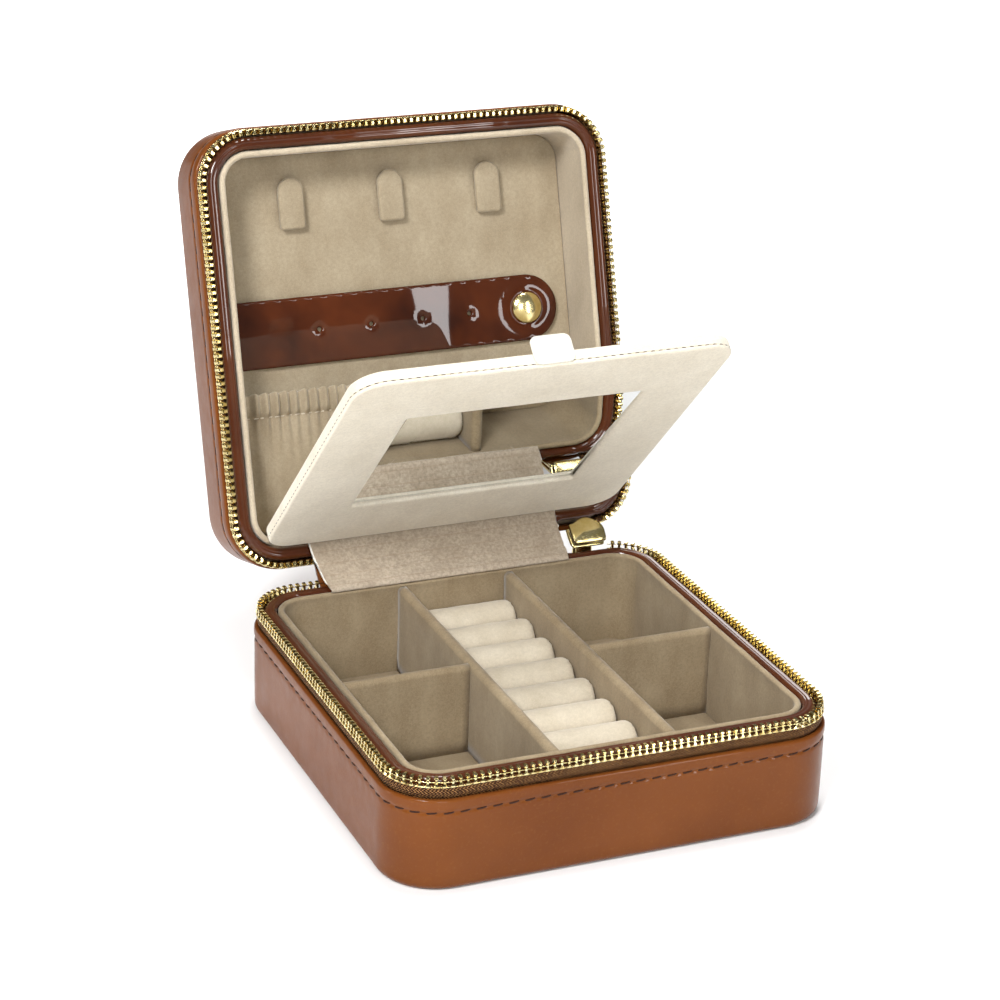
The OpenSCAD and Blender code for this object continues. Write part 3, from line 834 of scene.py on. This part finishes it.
for i in (1, 2, 3):
    a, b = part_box("necklace_tab_%d" % i)
    cx = (a.x + b.x) * 500
    tongue = tab_outline(cx, TAB_LOW, TAB_TOP, tab_w)
    o = cushion("chain_tab_%d" % i, tongue, 23.6, 21.2, 1.0, 0.0, IN_LID, "lid", VELVET,
                ["necklace_tab_%d" % i], bottom_edge=0.7, seed=i, rings=5)
    foot = rrect(tab_w - 1.0, 4.0, 0.8, cx, TAB_FOOT, 4, 4)
    f = cushion("chain_tab_foot_%d" % i, foot, 25.5, 23.5, 0.1, 0.0, IN_LID, "lid", VELVET,
                rings=2)

STRAP_U, STRAP_W, STRAP_END = 87.5, 12.5, 63.8
STRAP_FACE = PANEL - 2.4
SNAP = (STRAP_END - STRAP_W, STRAP_U)
HOLES = (-32.0, -11.5, 9.0, 28.0)


def strap():
    """Flat patent strap with punched holes, its face a little wavy and its edges rolled."""
    front, back, edge = STRAP_FACE, PANEL - 0.8, 0.55
    left, cx = -69.1, STRAP_END - STRAP_W
    out = [(left + (cx - left) * i / 60, STRAP_U - STRAP_W) for i in range(60)]
    out += [(cx + STRAP_W * cos(a), STRAP_U + STRAP_W * sin(a)) for a in
            [radians(-90 + 180 * i / 36) for i in range(37)]]
    out += [(cx - (cx - left) * i / 60, STRAP_U + STRAP_W) for i in range(1, 61)]
    loops = [out] + [[(x + 0.8 * cos(2 * pi * k / 14), STRAP_U + 0.8 * sin(2 * pi * k / 14))
                      for k in range(14)] for x in HOLES]
    pts, edges = [], []
    for lp in loops:
        n = len(pts)
        pts += lp
        edges += [(n + k, n + (k + 1) % len(lp)) for k in range(len(lp))]

    def depth(x, y):
        if x < cx:
            d = min(x - left + 5, STRAP_W - abs(y - STRAP_U))
        else:
            d = STRAP_W - math.hypot(x - cx, y - STRAP_U)
        h = min([math.hypot(x - c, y - STRAP_U) - 0.8 for c in HOLES])
        return d, h
    rows = [0.18, 0.4, 0.7, 1.2] + [2 + 1.4 * i for i in range(8)]
    for r in rows:
        for sgn in (-1, 1):
            yy = STRAP_U + sgn * (STRAP_W - r)
            x = left + 0.5
            while x < cx:
                if depth(x, yy)[1] > 0.5:
                    pts.append((x, yy))
                x += 1.5
        for i in range(1, 24):
            a = radians(-90 + 180 * i / 24)
            if STRAP_W - r > 1.5:
                pts.append((cx + (STRAP_W - r) * cos(a), STRAP_U + (STRAP_W - r) * sin(a)))
    for c in HOLES:
        for rr in (1.05, 1.4, 2.0):
            pts += [(c + rr * cos(2 * pi * k / 14), STRAP_U + rr * sin(2 * pi * k / 14)) for k in range(14)]
    for rr in (5.2, 5.8, 6.3, 6.8, 7.4, 8.1):
        pts += [(cx + rr * cos(2 * pi * k / 48), STRAP_U + rr * sin(2 * pi * k / 48)) for k in range(48)]
    res = delaunay_2d_cdt([Vector(p) for p in pts], edges, [], 1, 1e-5)
    v2, tris = res[0], res[2]
    keep = []
    for t in tris:
        mx = sum(v2[i].x for i in t) / 3
        my = sum(v2[i].y for i in t) / 3
        d, h = depth(mx, my)
        if h > 0 and d > -0.01:
            keep.append(t)
    top, bot = [], []
    for p in v2:
        d, h = depth(p.x, p.y)
        e = min(d, max(h, 0) * 1.2)
        round_ = edge - math.sqrt(max(0, edge ** 2 - (edge - min(e, edge)) ** 2))
        dent = 0.30 * exp(-(h / 0.9) ** 2)
        wave = 0.16 * sin(p.x / 11 + 0.6) + 0.08 * wob(p.x, p.y, 0, 20, 2)
        wave *= min(1, (p.x - left) / 20)
        sn = math.hypot(p.x - cx, p.y - STRAP_U)
        ring = 0.22 * exp(-((sn - 6.5) / 1.1) ** 2)
        top.append((p.x, p.y, front + round_ + dent * 0.6 - wave * min(1, sn / 12) + ring))
        bot.append((p.x, p.y, back - min(0.25, round_)))
    n = len(v2)
    count = {}
    for t in keep:
        for k in range(3):
            e = (t[k], t[(k + 1) % 3])
            count[frozenset(e)] = count.get(frozenset(e), []) + [e]
    faces = [tuple(t) for t in keep] + [tuple(i + n for i in reversed(t)) for t in keep]
    faces += [(e[0][1], e[0][0], e[0][0] + n, e[0][1] + n) for e in count.values() if len(e) == 1]
    used = sorted({i for f in faces for i in f})
    m = {o: i for i, o in enumerate(used)}
    verts = np.array(top + bot)[used]
    return make("jewel_strap", verts, [tuple(m[i] for i in f) for f in faces], IN_LID, "strap", STRAP,
                ["earring_strap"])


strap()


def lathe(name, prof, centre, where, body, mat, replaces=(), n=64):
    """prof is (radius, depth) from the middle outward and back; depth is along the third axis."""
    v = [(centre[0] + max(r, 0.0) * cos(2 * pi * i / n), centre[1] + max(r, 0.0) * sin(2 * pi * i / n), z)
         for r, z in prof[1:-1] for i in range(n)]
    m = len(prof) - 2
    f = bands(n, m)
    v += [(centre[0], centre[1], prof[0][1]), (centre[0], centre[1], prof[-1][1])]
    f += [(i, (i + 1) % n, m * n) for i in range(n)]
    f += [((m - 1) * n + i, (m - 1) * n + (i + 1) % n, m * n + 1) for i in range(n)]
    return make(name, v, f, where, body, mat, replaces)


dome = [(0, STRAP_FACE - 2.5)] + [(r * 1.04, STRAP_FACE - 2.5 + 1.55 * (r / 5.5) ** 2.8)
                                  for r in (0.8, 1.6, 2.4, 3.2, 4.0, 4.5, 4.9, 5.2, 5.45)]
dome += [(r, STRAP_FACE + z) for r, z in ((5.9, -0.72), (6.05, -0.4), (6.05, 0.1), (5.9, 0.3), (2.0, 0.3),
                                          (2.0, 1.5), (0, 1.5))]
lathe("snap_dome", dome, SNAP, IN_LID, "strap", GOLD, ["snap_cap"])
seat = [(r, PANEL + z) for r, z in ((0, -0.2), (1.6, -0.2), (1.8, -0.45), (4.2, -0.42), (4.5, -0.25),
                                    (4.5, 0.1), (0, 0.1))]
lathe("snap_seat", seat, SNAP, IN_LID, "lid", GOLD, ["snap_socket"], n=32)

POCKET_SEAM, PLEAT = 57.5, 3.8


def pocket_depth(x, u):
    """How deep the pocket's cloth lies: gathered into pleats above and below its elastic seam."""
    edge = min(1.0, (66.5 - abs(x)) / 7.0)
    low = min(1.0, (u - 14.5) / 10.0)
    full = math.sqrt(max(0, edge)) * math.sqrt(max(0.0, low)) * (0.80 + 0.2 * (u - 15) / 50)
    body_ = PANEL - 0.9 - 6.2 * full
    ph = x / PLEAT + 0.30 * wob(x, 0, 0, 16, 3)
    pleat = cos(2 * pi * ph) * (0.85 + 0.3 * wob(x, 0, 5, 6, 1))
    head = 1 / (1 + exp(-(u - POCKET_SEAM - 0.4) * 1.6))
    amp = 1.45 * head + (1 - head) * exp(-(POCKET_SEAM - u) / 6.5) * 1.25
    seam = exp(-((u - POCKET_SEAM) / 0.9) ** 2)
    fold = 2.0 * wob(x + 0.25 * u, u * 0.35, 0, 10, 7) * min(1, max(0, (POCKET_SEAM + 4 - u) / 20)) * edge
    return body_ - pleat * amp * (1 - 0.55 * seam) + 0.75 * seam - fold - 0.7 * head


def pocket():
    """The gathered pocket with its two faces, and the stitches along its seam."""
    xs = np.linspace(-66.3, 66.3, 350)
    us = [15 + 42 * i / 26 for i in range(26)]
    us += [56.3, 56.9, 57.3, 57.7, 58.1, 58.7, 59.5, 60.5, 61.8, 63.2, 64.6, 65.7, 66.3]
    F = []
    for x in xs:
        lip = 0.45 * cos(2 * pi * x / PLEAT + 0.6)
        rf, rb = [], []
        for u in us:
            uu = u + (lip * max(0, (u - 60) / 6))
            d = pocket_depth(x, u)
            close = max(0, (u - 64.8) / 1.6)
            rf.append((x, uu, d + 0.35 * close))
            rb.append((x, uu, min(PANEL - 0.05, d + 1.2 - 0.35 * close)))
        F.append(rf + rb[::-1])
    P = np.array(F)
    v, f, _ = grid(P, False, True, caps=True)
    o = make("gathered_pocket", v, f, IN_LID, "lid", VELVET,
             ["elastic_pocket", "pocket_elastic"])
    cv, cf = capsule(2.0, 0.24)
    items = []
    for i in range(50):
        x = -63.5 + 127 * i / 49
        d = pocket_depth(x, POCKET_SEAM)
        items.append((put(cv, (x, POCKET_SEAM, d - 0.08), (1, 0.08, 0), (-0.08, 1, 0), (0, 0, -1)), cf))
    v, f = merged(items)
    make("pocket_stitches", v, f, IN_LID, "lid", PALE_THREAD)


pocket()

# ---- mirror flap ----
FL_W, FL_L, FL_0 = 69.0, 68.0, 2.2
OUT = rrect(FL_W, FL_L, 11.0, 0, FL_0 + FL_L, 12, 26)
WIN_HALF = 37.25
WIN_Y = 33 + WIN_HALF
WIN = rrect(43.3, WIN_HALF, 1.0, 0, WIN_Y, 12, 26)
FRONT = -FLAP_T / 2
SEAM = FRONT + 0.85


def mirror_front():
    """The front pad: a padded frame from the flap's edge in to the window."""
    sec = []                                       # (share of the way in, extra outward mm, z)
    for i in range(7):
        a = pi / 2 * i / 6
        sec.append((0, -1.05 * (1 - cos(a)), SEAM - 0.1 - 1.05 * sin(a)))
    for t in (0.06, 0.14, 0.25, 0.4, 0.55, 0.7, 0.82, 0.9, 0.96):
        sec.append((t, -1.05 * (1 - t), SEAM - 1.15 - 0.40 * sin(pi * t)))
    for i in range(6):
        a = pi / 2 * i / 5
        sec.append((1, 0.85 * (1 - sin(a)), SEAM - 1.15 + 0.85 * (1 - cos(a))))
    sec += [(1, 0.0, SEAM + 0.9), (0.5, 0.0, SEAM + 0.9), (0, -1.5, SEAM + 0.5), (0, -0.35, SEAM + 0.02)]
    P = np.zeros((len(OUT), len(sec), 3))
    for i, (o, w) in enumerate(zip(OUT, WIN)):
        for j, (t, off, z) in enumerate(sec):
            x = o[0] + (w[0] - o[0]) * t
            y = o[1] + (w[1] - o[1]) * t
            n = o if t < 0.5 else w
            x, y = x + off * n[2], y + off * n[3]
            P[i, j] = (x, y, z + (0.07 * wob(x, y, 0, 9, 4) if 3 < j < 20 else 0))
    v, f, _ = grid(P, True, True)
    return make("mirror_pad_front", v, f, FLAP, "mirror_flap", PALE, ["mirror_frame_front"])


mirror_front()
cushion("mirror_pad_back", OUT, SEAM + 0.1, FLAP_T / 2 + 0.4, 1.3, 0.35, FLAP, "mirror_flap", PALE,
                  ["mirror_frame_back", "mirror_board"], bottom_edge=0.3, fuzz=0.07, seed=9,
                  power=8, recess=(WIN, 2.4))


def pane():
    """The silvered pane, bevelled round its edge, leaning a little in its well."""
    rim = rrect(44.0, 38.0, 1.6, 0, WIN_Y, 4, 8)

    def z(y):
        return -0.86 - 1.30 * (y - 32.2) / 76
    rings = [(0.0, 1.6), (0.0, 0.35), (-0.9, 0.0)]
    P = [(x + o * nx, y + o * ny, z(y) + d) for o, d in rings for x, y, nx, ny in rim]
    n = len(rim)
    F = bands(n, len(rings)) + [list(range(n)), list(range(2 * n, 3 * n))]
    make("mirror_pane", P, F, FLAP, "mirror_flap", MIRROR, ["mirror_glass"], sharp=True)


pane()


def flap_seam():
    """Stitches at even steps round the edge where the two pads meet."""
    cv, cf = capsule(1.6, 0.2)
    pts = [(x + 0.02 * nx, y + 0.02 * ny, nx, ny) for x, y, nx, ny in OUT]
    run, items, need = 0.0, [], 1.4
    for k in range(len(pts)):
        a, b = pts[k], pts[(k + 1) % len(pts)]
        L = math.dist(a[:2], b[:2])
        while need < run + L:
            t = (need - run) / L
            x, y = a[0] + (b[0] - a[0]) * t, a[1] + (b[1] - a[1]) * t
            nx, ny = a[2] + (b[2] - a[2]) * t, a[3] + (b[3] - a[3]) * t
            n = math.hypot(nx, ny)
            nx, ny = nx / n, ny / n
            items.append((put(cv, (x - 0.12 * nx, y - 0.12 * ny, SEAM + 0.06), (-ny, nx, 0.06),
                              (0, 0, 1), (nx, ny, 0)), cf))
            need += 2.9
        run += L
    v, f = merged(items)
    make("mirror_seam", v, f, FLAP, "mirror_flap", THREAD)


flap_seam()

tab = rrect(7.4, 5.2, 2.6, 0.6, SEAM + 4.6, 8, 6)
flap_end = FL_0 + 2 * FL_L
o = cushion("mirror_ribbon", tab, 0.05, 0.75, 0.3, 0.05, FLAP, "mirror_flap", RIBBON,
            ["mirror_pull_tab"], bottom_edge=0.25, fuzz=0.05,
            swap=lambda a, b, c: (a, flap_end + c + 0.005 * max(0, b - 2.3) ** 2, b))

hem = arc(0, 0, 1.6, -90, 90, 10) + [(-FL_0, 1.5), (-FL_0 - 0.2, 0), (-FL_0, -1.5)]
o = bar("mirror_hem_roll", hem, stations(-46, 46, 50, 0.10, 1.5), FLAP, "mirror_flap", PALE,
        ["mirror_hem"], place=lambda t, a, z: (t, -a, z), fuzz=0.10)
use("mirror_hinge_rod", GOLD, 0.25)


# ---- cloth across the hinge ----
def ribbon(name, path, x0, x1, thick, mat, replaces, nx=60, jag=0.0, bend=None, step=0.9):
    """A sheet along a path of (y, z) points, x0 and x1 giving its ends at each end of the path."""
    fine = []
    for k in range(len(path) - 1):
        p = [Vector((*path[min(max(i, 0), len(path) - 1)], 0)) for i in (k - 1, k, k + 1, k + 2)]
        m = max(2, int((p[2] - p[1]).length / step))
        for i in range(m):
            t = i / m
            fine.append(0.5 * ((2 * p[1]) + (p[2] - p[0]) * t
                               + (2 * p[0] - 5 * p[1] + 4 * p[2] - p[3]) * t ** 2
                               + (3 * p[1] - p[0] - 3 * p[2] + p[3]) * t ** 3))
    fine.append(Vector((*path[-1], 0)))
    n = len(fine)
    N = []
    for i in range(n):
        d = (fine[min(i + 1, n - 1)] - fine[max(i - 1, 0)]).normalized()
        N.append(Vector((-d.y, d.x, 0)))
    dist = [0.0]
    for i in range(1, n):
        dist.append(dist[-1] + (fine[i] - fine[i - 1]).length)
    P = np.zeros((nx + 1, 2 * n, 3))
    for c in range(nx + 1):
        for i in range(n):
            k = dist[i] / dist[-1]
            a = x0[0] + (x0[1] - x0[0]) * k + jag * (wob(0, dist[i], 0, 1.3, 2) + wob(0, dist[i], 0, 4.5, 6))
            b = x1[0] + (x1[1] - x1[0]) * k + jag * (wob(0, dist[i], 9, 1.3, 5) + wob(0, dist[i], 9, 4.5, 1))
            g = c / nx
            g = 0.5 - 0.5 * cos(pi * g) if jag else g
            x = a + (b - a) * g
            w = 0.22 * wob(x, dist[i] * 0.4, 0, 13, 8) + (bend(x, dist[i], dist[-1]) if bend else 0)
            for side, j in ((0.5, i), (-0.5, 2 * n - 1 - i)):
                q = fine[i] + N[i] * (thick * side + w)
                P[c, j] = (x, q.x, q.y)
    v, f, _ = grid(P, False, True, caps=True)
    flat = P.reshape(-1, 3)
    dj = dist + dist[::-1]
    uv = []
    for face_ in f:
        for idx in face_:
            c, j = divmod(idx, 2 * n)
            k = dj[j] / dist[-1]
            a = x0[0] + (x0[1] - x0[0]) * k
            b = x1[0] + (x1[1] - x1[0]) * k
            uv.append((min(flat[idx][0] - a, b - flat[idx][0]) + 0.3, dj[j]))
    o = make(name, v, f, HERE, None, mat, replaces, uv, ride=False)
    return o, dist[-1]


strip_path = [(69.9, 39.2), (70.3, 40.25), (71.4, 40.75), (74.6, 41.9), (78.6, 44.0), (82.8, 46.9),
              (86.2, 49.9), (88.3, 52.2), (89.4, 53.8)]
strip, length = ribbon("hinge_velvet", strip_path, (-49.0, -51.2), (45.4, 46.6), 0.9, STRIP,
                       ["hinge_strip"], nx=110, jag=0.8, step=0.45)
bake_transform(strip)
spine_path = [(79.3, 32.9), (79.6, 34.2), (81.2, 34.9), (83.8, 36.0), (86.8, 38.2), (89.2, 40.6),
              (90.4, 42.0), (91.2, 43.1)]
spine, length2 = ribbon("leather_spine", spine_path, (-48.0, -48.0), (46.5, 46.5), 1.3, LEATHER,
                        ["outer_spine"], nx=60,
                        bend=lambda x, d, L: 0.18 * sin(pi * d / L) * sin(2 * pi * d / 3.1))
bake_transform(spine)

back_path = [(12.6, 4.4), (12.9, 5.2), (12.8, 6.4), (12.5, 7.6), (12.4, 8.6)]
cloth_rest = [IN_LID @ Vector((0, u, d)) for u, d in back_path]
cloth, length3 = ribbon("mirror_hinge_velvet", [(p.y, p.z) for p in cloth_rest], (-45.5, -45.5),
                        (45.5, 45.5), 0.8, PALE, ["mirror_hinge_cloth"], nx=50, step=0.5)
a, b = cloth_rest[0] * 0.001, cloth_rest[-1] * 0.001
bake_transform(cloth)


# ---- slider, bridge and pull ----
def slider_outline():
    pts = [(-6.75, -3.4), (-6.2, -5.0), (-5.6, -5.2)]
    pts += [(-5.6 + (11.4) * i / 8, -5.2) for i in range(1, 9)]
    pts += [(6.4, -4.9), (6.75, -4.0), (6.75, -1.5)]
    pts += [(0.6 + 6.15 * cos(radians(a)), -0.6 + 6.1 * sin(radians(a))) for a in range(5, 118, 8)]
    pts += [(-3.6, 4.0), (-4.8, 3.5), (-6.2, 3.2), (-6.7, 2.8), (-6.75, 0.0)]
    out = []
    n = len(pts)
    for i in range(n):
        t = Vector(pts[(i + 1) % n]) - Vector(pts[i - 1])
        t.normalize()
        out.append((*pts[i], t.y, -t.x))
    return out


def slider():
    """Two domed plates and the post between them."""
    out = slider_outline()
    V, F = [], []
    for base, up in ((-5.1, -1), (-2.9, 1)):
        n = len(out)
        layers = [(-0.3, 1, 0.0), (0, 1, 0.3), (0, 1, 0.75), (-0.25, 1, 1.0), (-0.3, 0.85, 1.12),
                  (-0.3, 0.6, 1.2), (-0.3, 0.35, 1.28), (-0.3, 0.12, 1.34)]
        start = len(V)
        for off, k, h in layers:
            for x, z, nx, nz in out:
                px, pz = (x + off * nx) * k, (z + off * nz) * k
                ridge = 1.15 * max(0.0, 1 - abs(pz + 1.2) / (4.0 if pz < -1.2 else 6.4)) if h > 0.9 else 0
                V.append((px, base + up * (h + ridge - 0.12), pz))
        F += bands(n, len(layers), start)
        V.append((0, base + up * 2.15, 0))
        last = start + (len(layers) - 1) * n
        F += [(last + i, last + (i + 1) % n, len(V) - 1) for i in range(n)]
        F.append(list(range(start, start + n)))
    s = len(V)
    for y in (-5.2, -2.8):
        V += [(-4 + 3.5 * cos(radians(a)) + 3.5, y, 1.5 * sin(radians(a))) for a in range(0, 360, 30)]
    F += bands(12, 2, s) + [list(range(s, s + 12)), list(range(s + 12, s + 24))]
    o = make("zip_slider", V, F, SLIDER, "slider", GOLD, ["zipper_slider"])
    m = o.modifiers.new("edge", "BEVEL")
    m.width, m.segments, m.limit_method, m.angle_limit = 0.00012, 2, "ANGLE", radians(50)
    return o


slider()
use("slider_bridge", GOLD, 0.18)


def pull():
    """The pull's ring round the bridge, and its tongue."""
    ring_ = [(1.28 + 0.36 * cos(radians(b)), 0.36 * sin(radians(b))) for b in range(0, 360, 45)]
    P = np.zeros((24, 8, 3))
    for i in range(24):
        a = 2 * pi * i / 24
        for j, (r, w) in enumerate(ring_):
            P[i, j] = (w * 6.6, r * sin(a), r * cos(a))
    v1, f1, _ = grid(P, True, True)
    out = []
    for x, z, nx, nz in ([(4 * cos(a), -23 + 4 * sin(a), cos(a), sin(a)) for a in
                          [radians(180 + 180 * i / 20) for i in range(21)]]
                         + [(4, -23 + 19.5 * i / 10, 1, 0) for i in range(1, 10)]
                         + [(3.7, -2.6, 0.7, 0.7), (3.0, -2.1, 0.5, 0.85), (2.2, -1.6, 0.3, 0.95),
                            (-2.2, -1.6, -0.3, 0.95), (-3.0, -2.1, -0.5, 0.85), (-3.7, -2.6, -0.7, 0.7)]
                         + [(-4, -23 + 19.5 * (10 - i) / 10, -1, 0) for i in range(1, 10)]):
        out.append((x, z, nx, nz))
    n = len(out)
    V = []
    layers = [(-1.2, -0.35), (-0.9, -0.62), (-0.3, -0.62), (0, -0.35), (0, 0.35), (-0.3, 0.62),
              (-0.9, 0.62), (-1.2, 0.35)]
    for off, y in layers:
        V += [(x + off * nx, y, z + off * nz) for x, z, nx, nz in out]
    F = bands(n, len(layers)) + [list(range(n)), list(range(len(V) - n, len(V)))]
    v, f = merged([(v1, f1), (np.array(V), F)])
    return make("zip_pull", v, f, Matrix.Translation((SLIDER_X, HINGE.y, HINGE.z)), "pull", GOLD,
                ["slider_pull"])


pull()


# ---- floor, light and camera ----
def lay_floor():
    """Pale paper under the case. Further off the camera sees it evenly white; no light comes of that."""
    floor = bpy.data.meshes.new("floor")
    floor.from_pydata([(-4, -4, 0), (4, -4, 0), (4, 4, 0), (-4, 4, 0)], [], [(0, 1, 2, 3)])
    fo = bpy.data.objects.new("floor", floor)
    bpy.context.scene.collection.objects.link(fo)
    fm = Mat("floor_paper", Roughness=0.85, Specular_IOR_Level=0.1)
    fm.colour(fm.ramp(fm.noise(4, 2), [(0.3, (0.90, 0.90, 0.90)), (0.7, (0.93, 0.93, 0.93))]))
    far = fm.n.new("ShaderNodeVectorMath")
    far.operation = "LENGTH"
    fm.l.new(fm.coord, far.inputs[0])
    seen = fm.n.new("ShaderNodeLightPath").outputs["Is Camera Ray"]
    fm.l.new(fm.math("MULTIPLY", fm.ramp(far.outputs["Value"], [(0.38, 0.0), (0.75, 1.0)]), seen),
             fm.b.inputs["Emission Strength"])
    fm.b.inputs["Emission Color"].default_value = (1, 1, 1, 1)
    floor.materials.append(fm.mat)


def light_room():
    """The camera sees white behind the case, and the case sees a dim grey room, lighter overhead."""
    world = bpy.data.worlds.new("studio")
    bpy.context.scene.world = world
    world.use_nodes = True
    wn, wl = world.node_tree.nodes, world.node_tree.links
    back, room = wn["Background"], wn.new("ShaderNodeBackground")
    back.inputs["Color"].default_value, back.inputs["Strength"].default_value = (1, 1, 1, 1), 1.0
    room.inputs["Strength"].default_value = 0.12
    spot, part = wn.new("ShaderNodeTexCoord"), wn.new("ShaderNodeSeparateXYZ")
    shade = wn.new("ShaderNodeValToRGB")
    for element, at, grey in zip(shade.color_ramp.elements, (0.45, 0.85), (0.55, 1.3)):
        element.position, element.color = at, (grey, grey, grey, 1)
    lift = wn.new("ShaderNodeMath")
    lift.operation = "MULTIPLY_ADD"
    lift.inputs[1].default_value = lift.inputs[2].default_value = 0.5
    path, pick = wn.new("ShaderNodeLightPath"), wn.new("ShaderNodeMixShader")
    for source, target in ((spot.outputs["Generated"], part.inputs["Vector"]),
                           (part.outputs["Z"], lift.inputs[0]),
                           (lift.outputs[0], shade.inputs["Fac"]),
                           (shade.outputs["Color"], room.inputs["Color"]),
                           (path.outputs["Is Camera Ray"], pick.inputs[0]),
                           (room.outputs[0], pick.inputs[1]),
                           (back.outputs[0], pick.inputs[2]),
                           (pick.outputs[0], wn["World Output"].inputs["Surface"])):
        wl.new(source, target)


def area(name, at, aim, size, watts, colour=(1, 1, 1), size_y=None):
    light = bpy.data.lights.new(name, "AREA")
    light.energy, light.color, light.size = watts, colour, size
    if size_y:
        light.shape, light.size_y = "RECTANGLE", size_y
    o = bpy.data.objects.new(name, light)
    o.location = at
    o.rotation_euler = (Vector(aim) - Vector(at)).to_track_quat("-Z", "Y").to_euler()
    bpy.context.scene.collection.objects.link(o)


lay_floor()
light_room()
area("key", (-0.75, -0.70, 1.00), (0, 0, 0.06), 0.34, 18.0)
area("strip", (0.60, -1.33, 0.52), (0.017, 0.13, 0.11), 0.08, 3.2, size_y=0.9)
area("front", (-0.25, -1.55, 0.75), (0, 0, 0.08), 0.45, 9.0)
area("top", (0.10, 0.10, 1.25), (0, 0.02, 0.05), 0.30, 8.0)
area("side", (-1.1, 0.35, 0.24), (0, 0.05, 0.1), 0.16, 3.2, (1.0, 0.93, 0.85), size_y=1.1)
area("floor_wash", (0.5, 1.9, 1.6), (0.35, 1.3, 0), 1.2, 34.0)


def place_camera(azimuth, elevation, roll, distance, target, lens):
    """Angles in degrees, distance and target in metres, lens in millimetres."""
    azimuth, elevation, roll = radians(azimuth), radians(elevation), radians(roll)
    away = Vector((sin(azimuth) * cos(elevation), -cos(azimuth) * cos(elevation), sin(elevation)))
    camera = bpy.data.cameras.new("camera")
    camera.sensor_width, camera.lens = 36.0, lens
    camera.clip_start, camera.clip_end = 0.01, 20
    cam = bpy.data.objects.new("camera", camera)
    bpy.context.scene.collection.objects.link(cam)
    level = (-away).cross(Vector((0, 0, 1))).normalized()
    up = level.cross(-away)
    turn = Matrix((level * cos(roll) + up * sin(roll), -level * sin(roll) + up * cos(roll), away))
    turn = turn.transposed().to_4x4()
    turn.translation = target + away * distance
    cam.matrix_world = turn
    bpy.context.scene.camera = cam


place_camera(azimuth=-23.56, elevation=22.34, roll=1.91, distance=0.9884,
             target=Vector((-0.0116, 0.0057, 0.0957)), lens=104.85)
bpy.context.scene.view_settings.view_transform = "Standard"
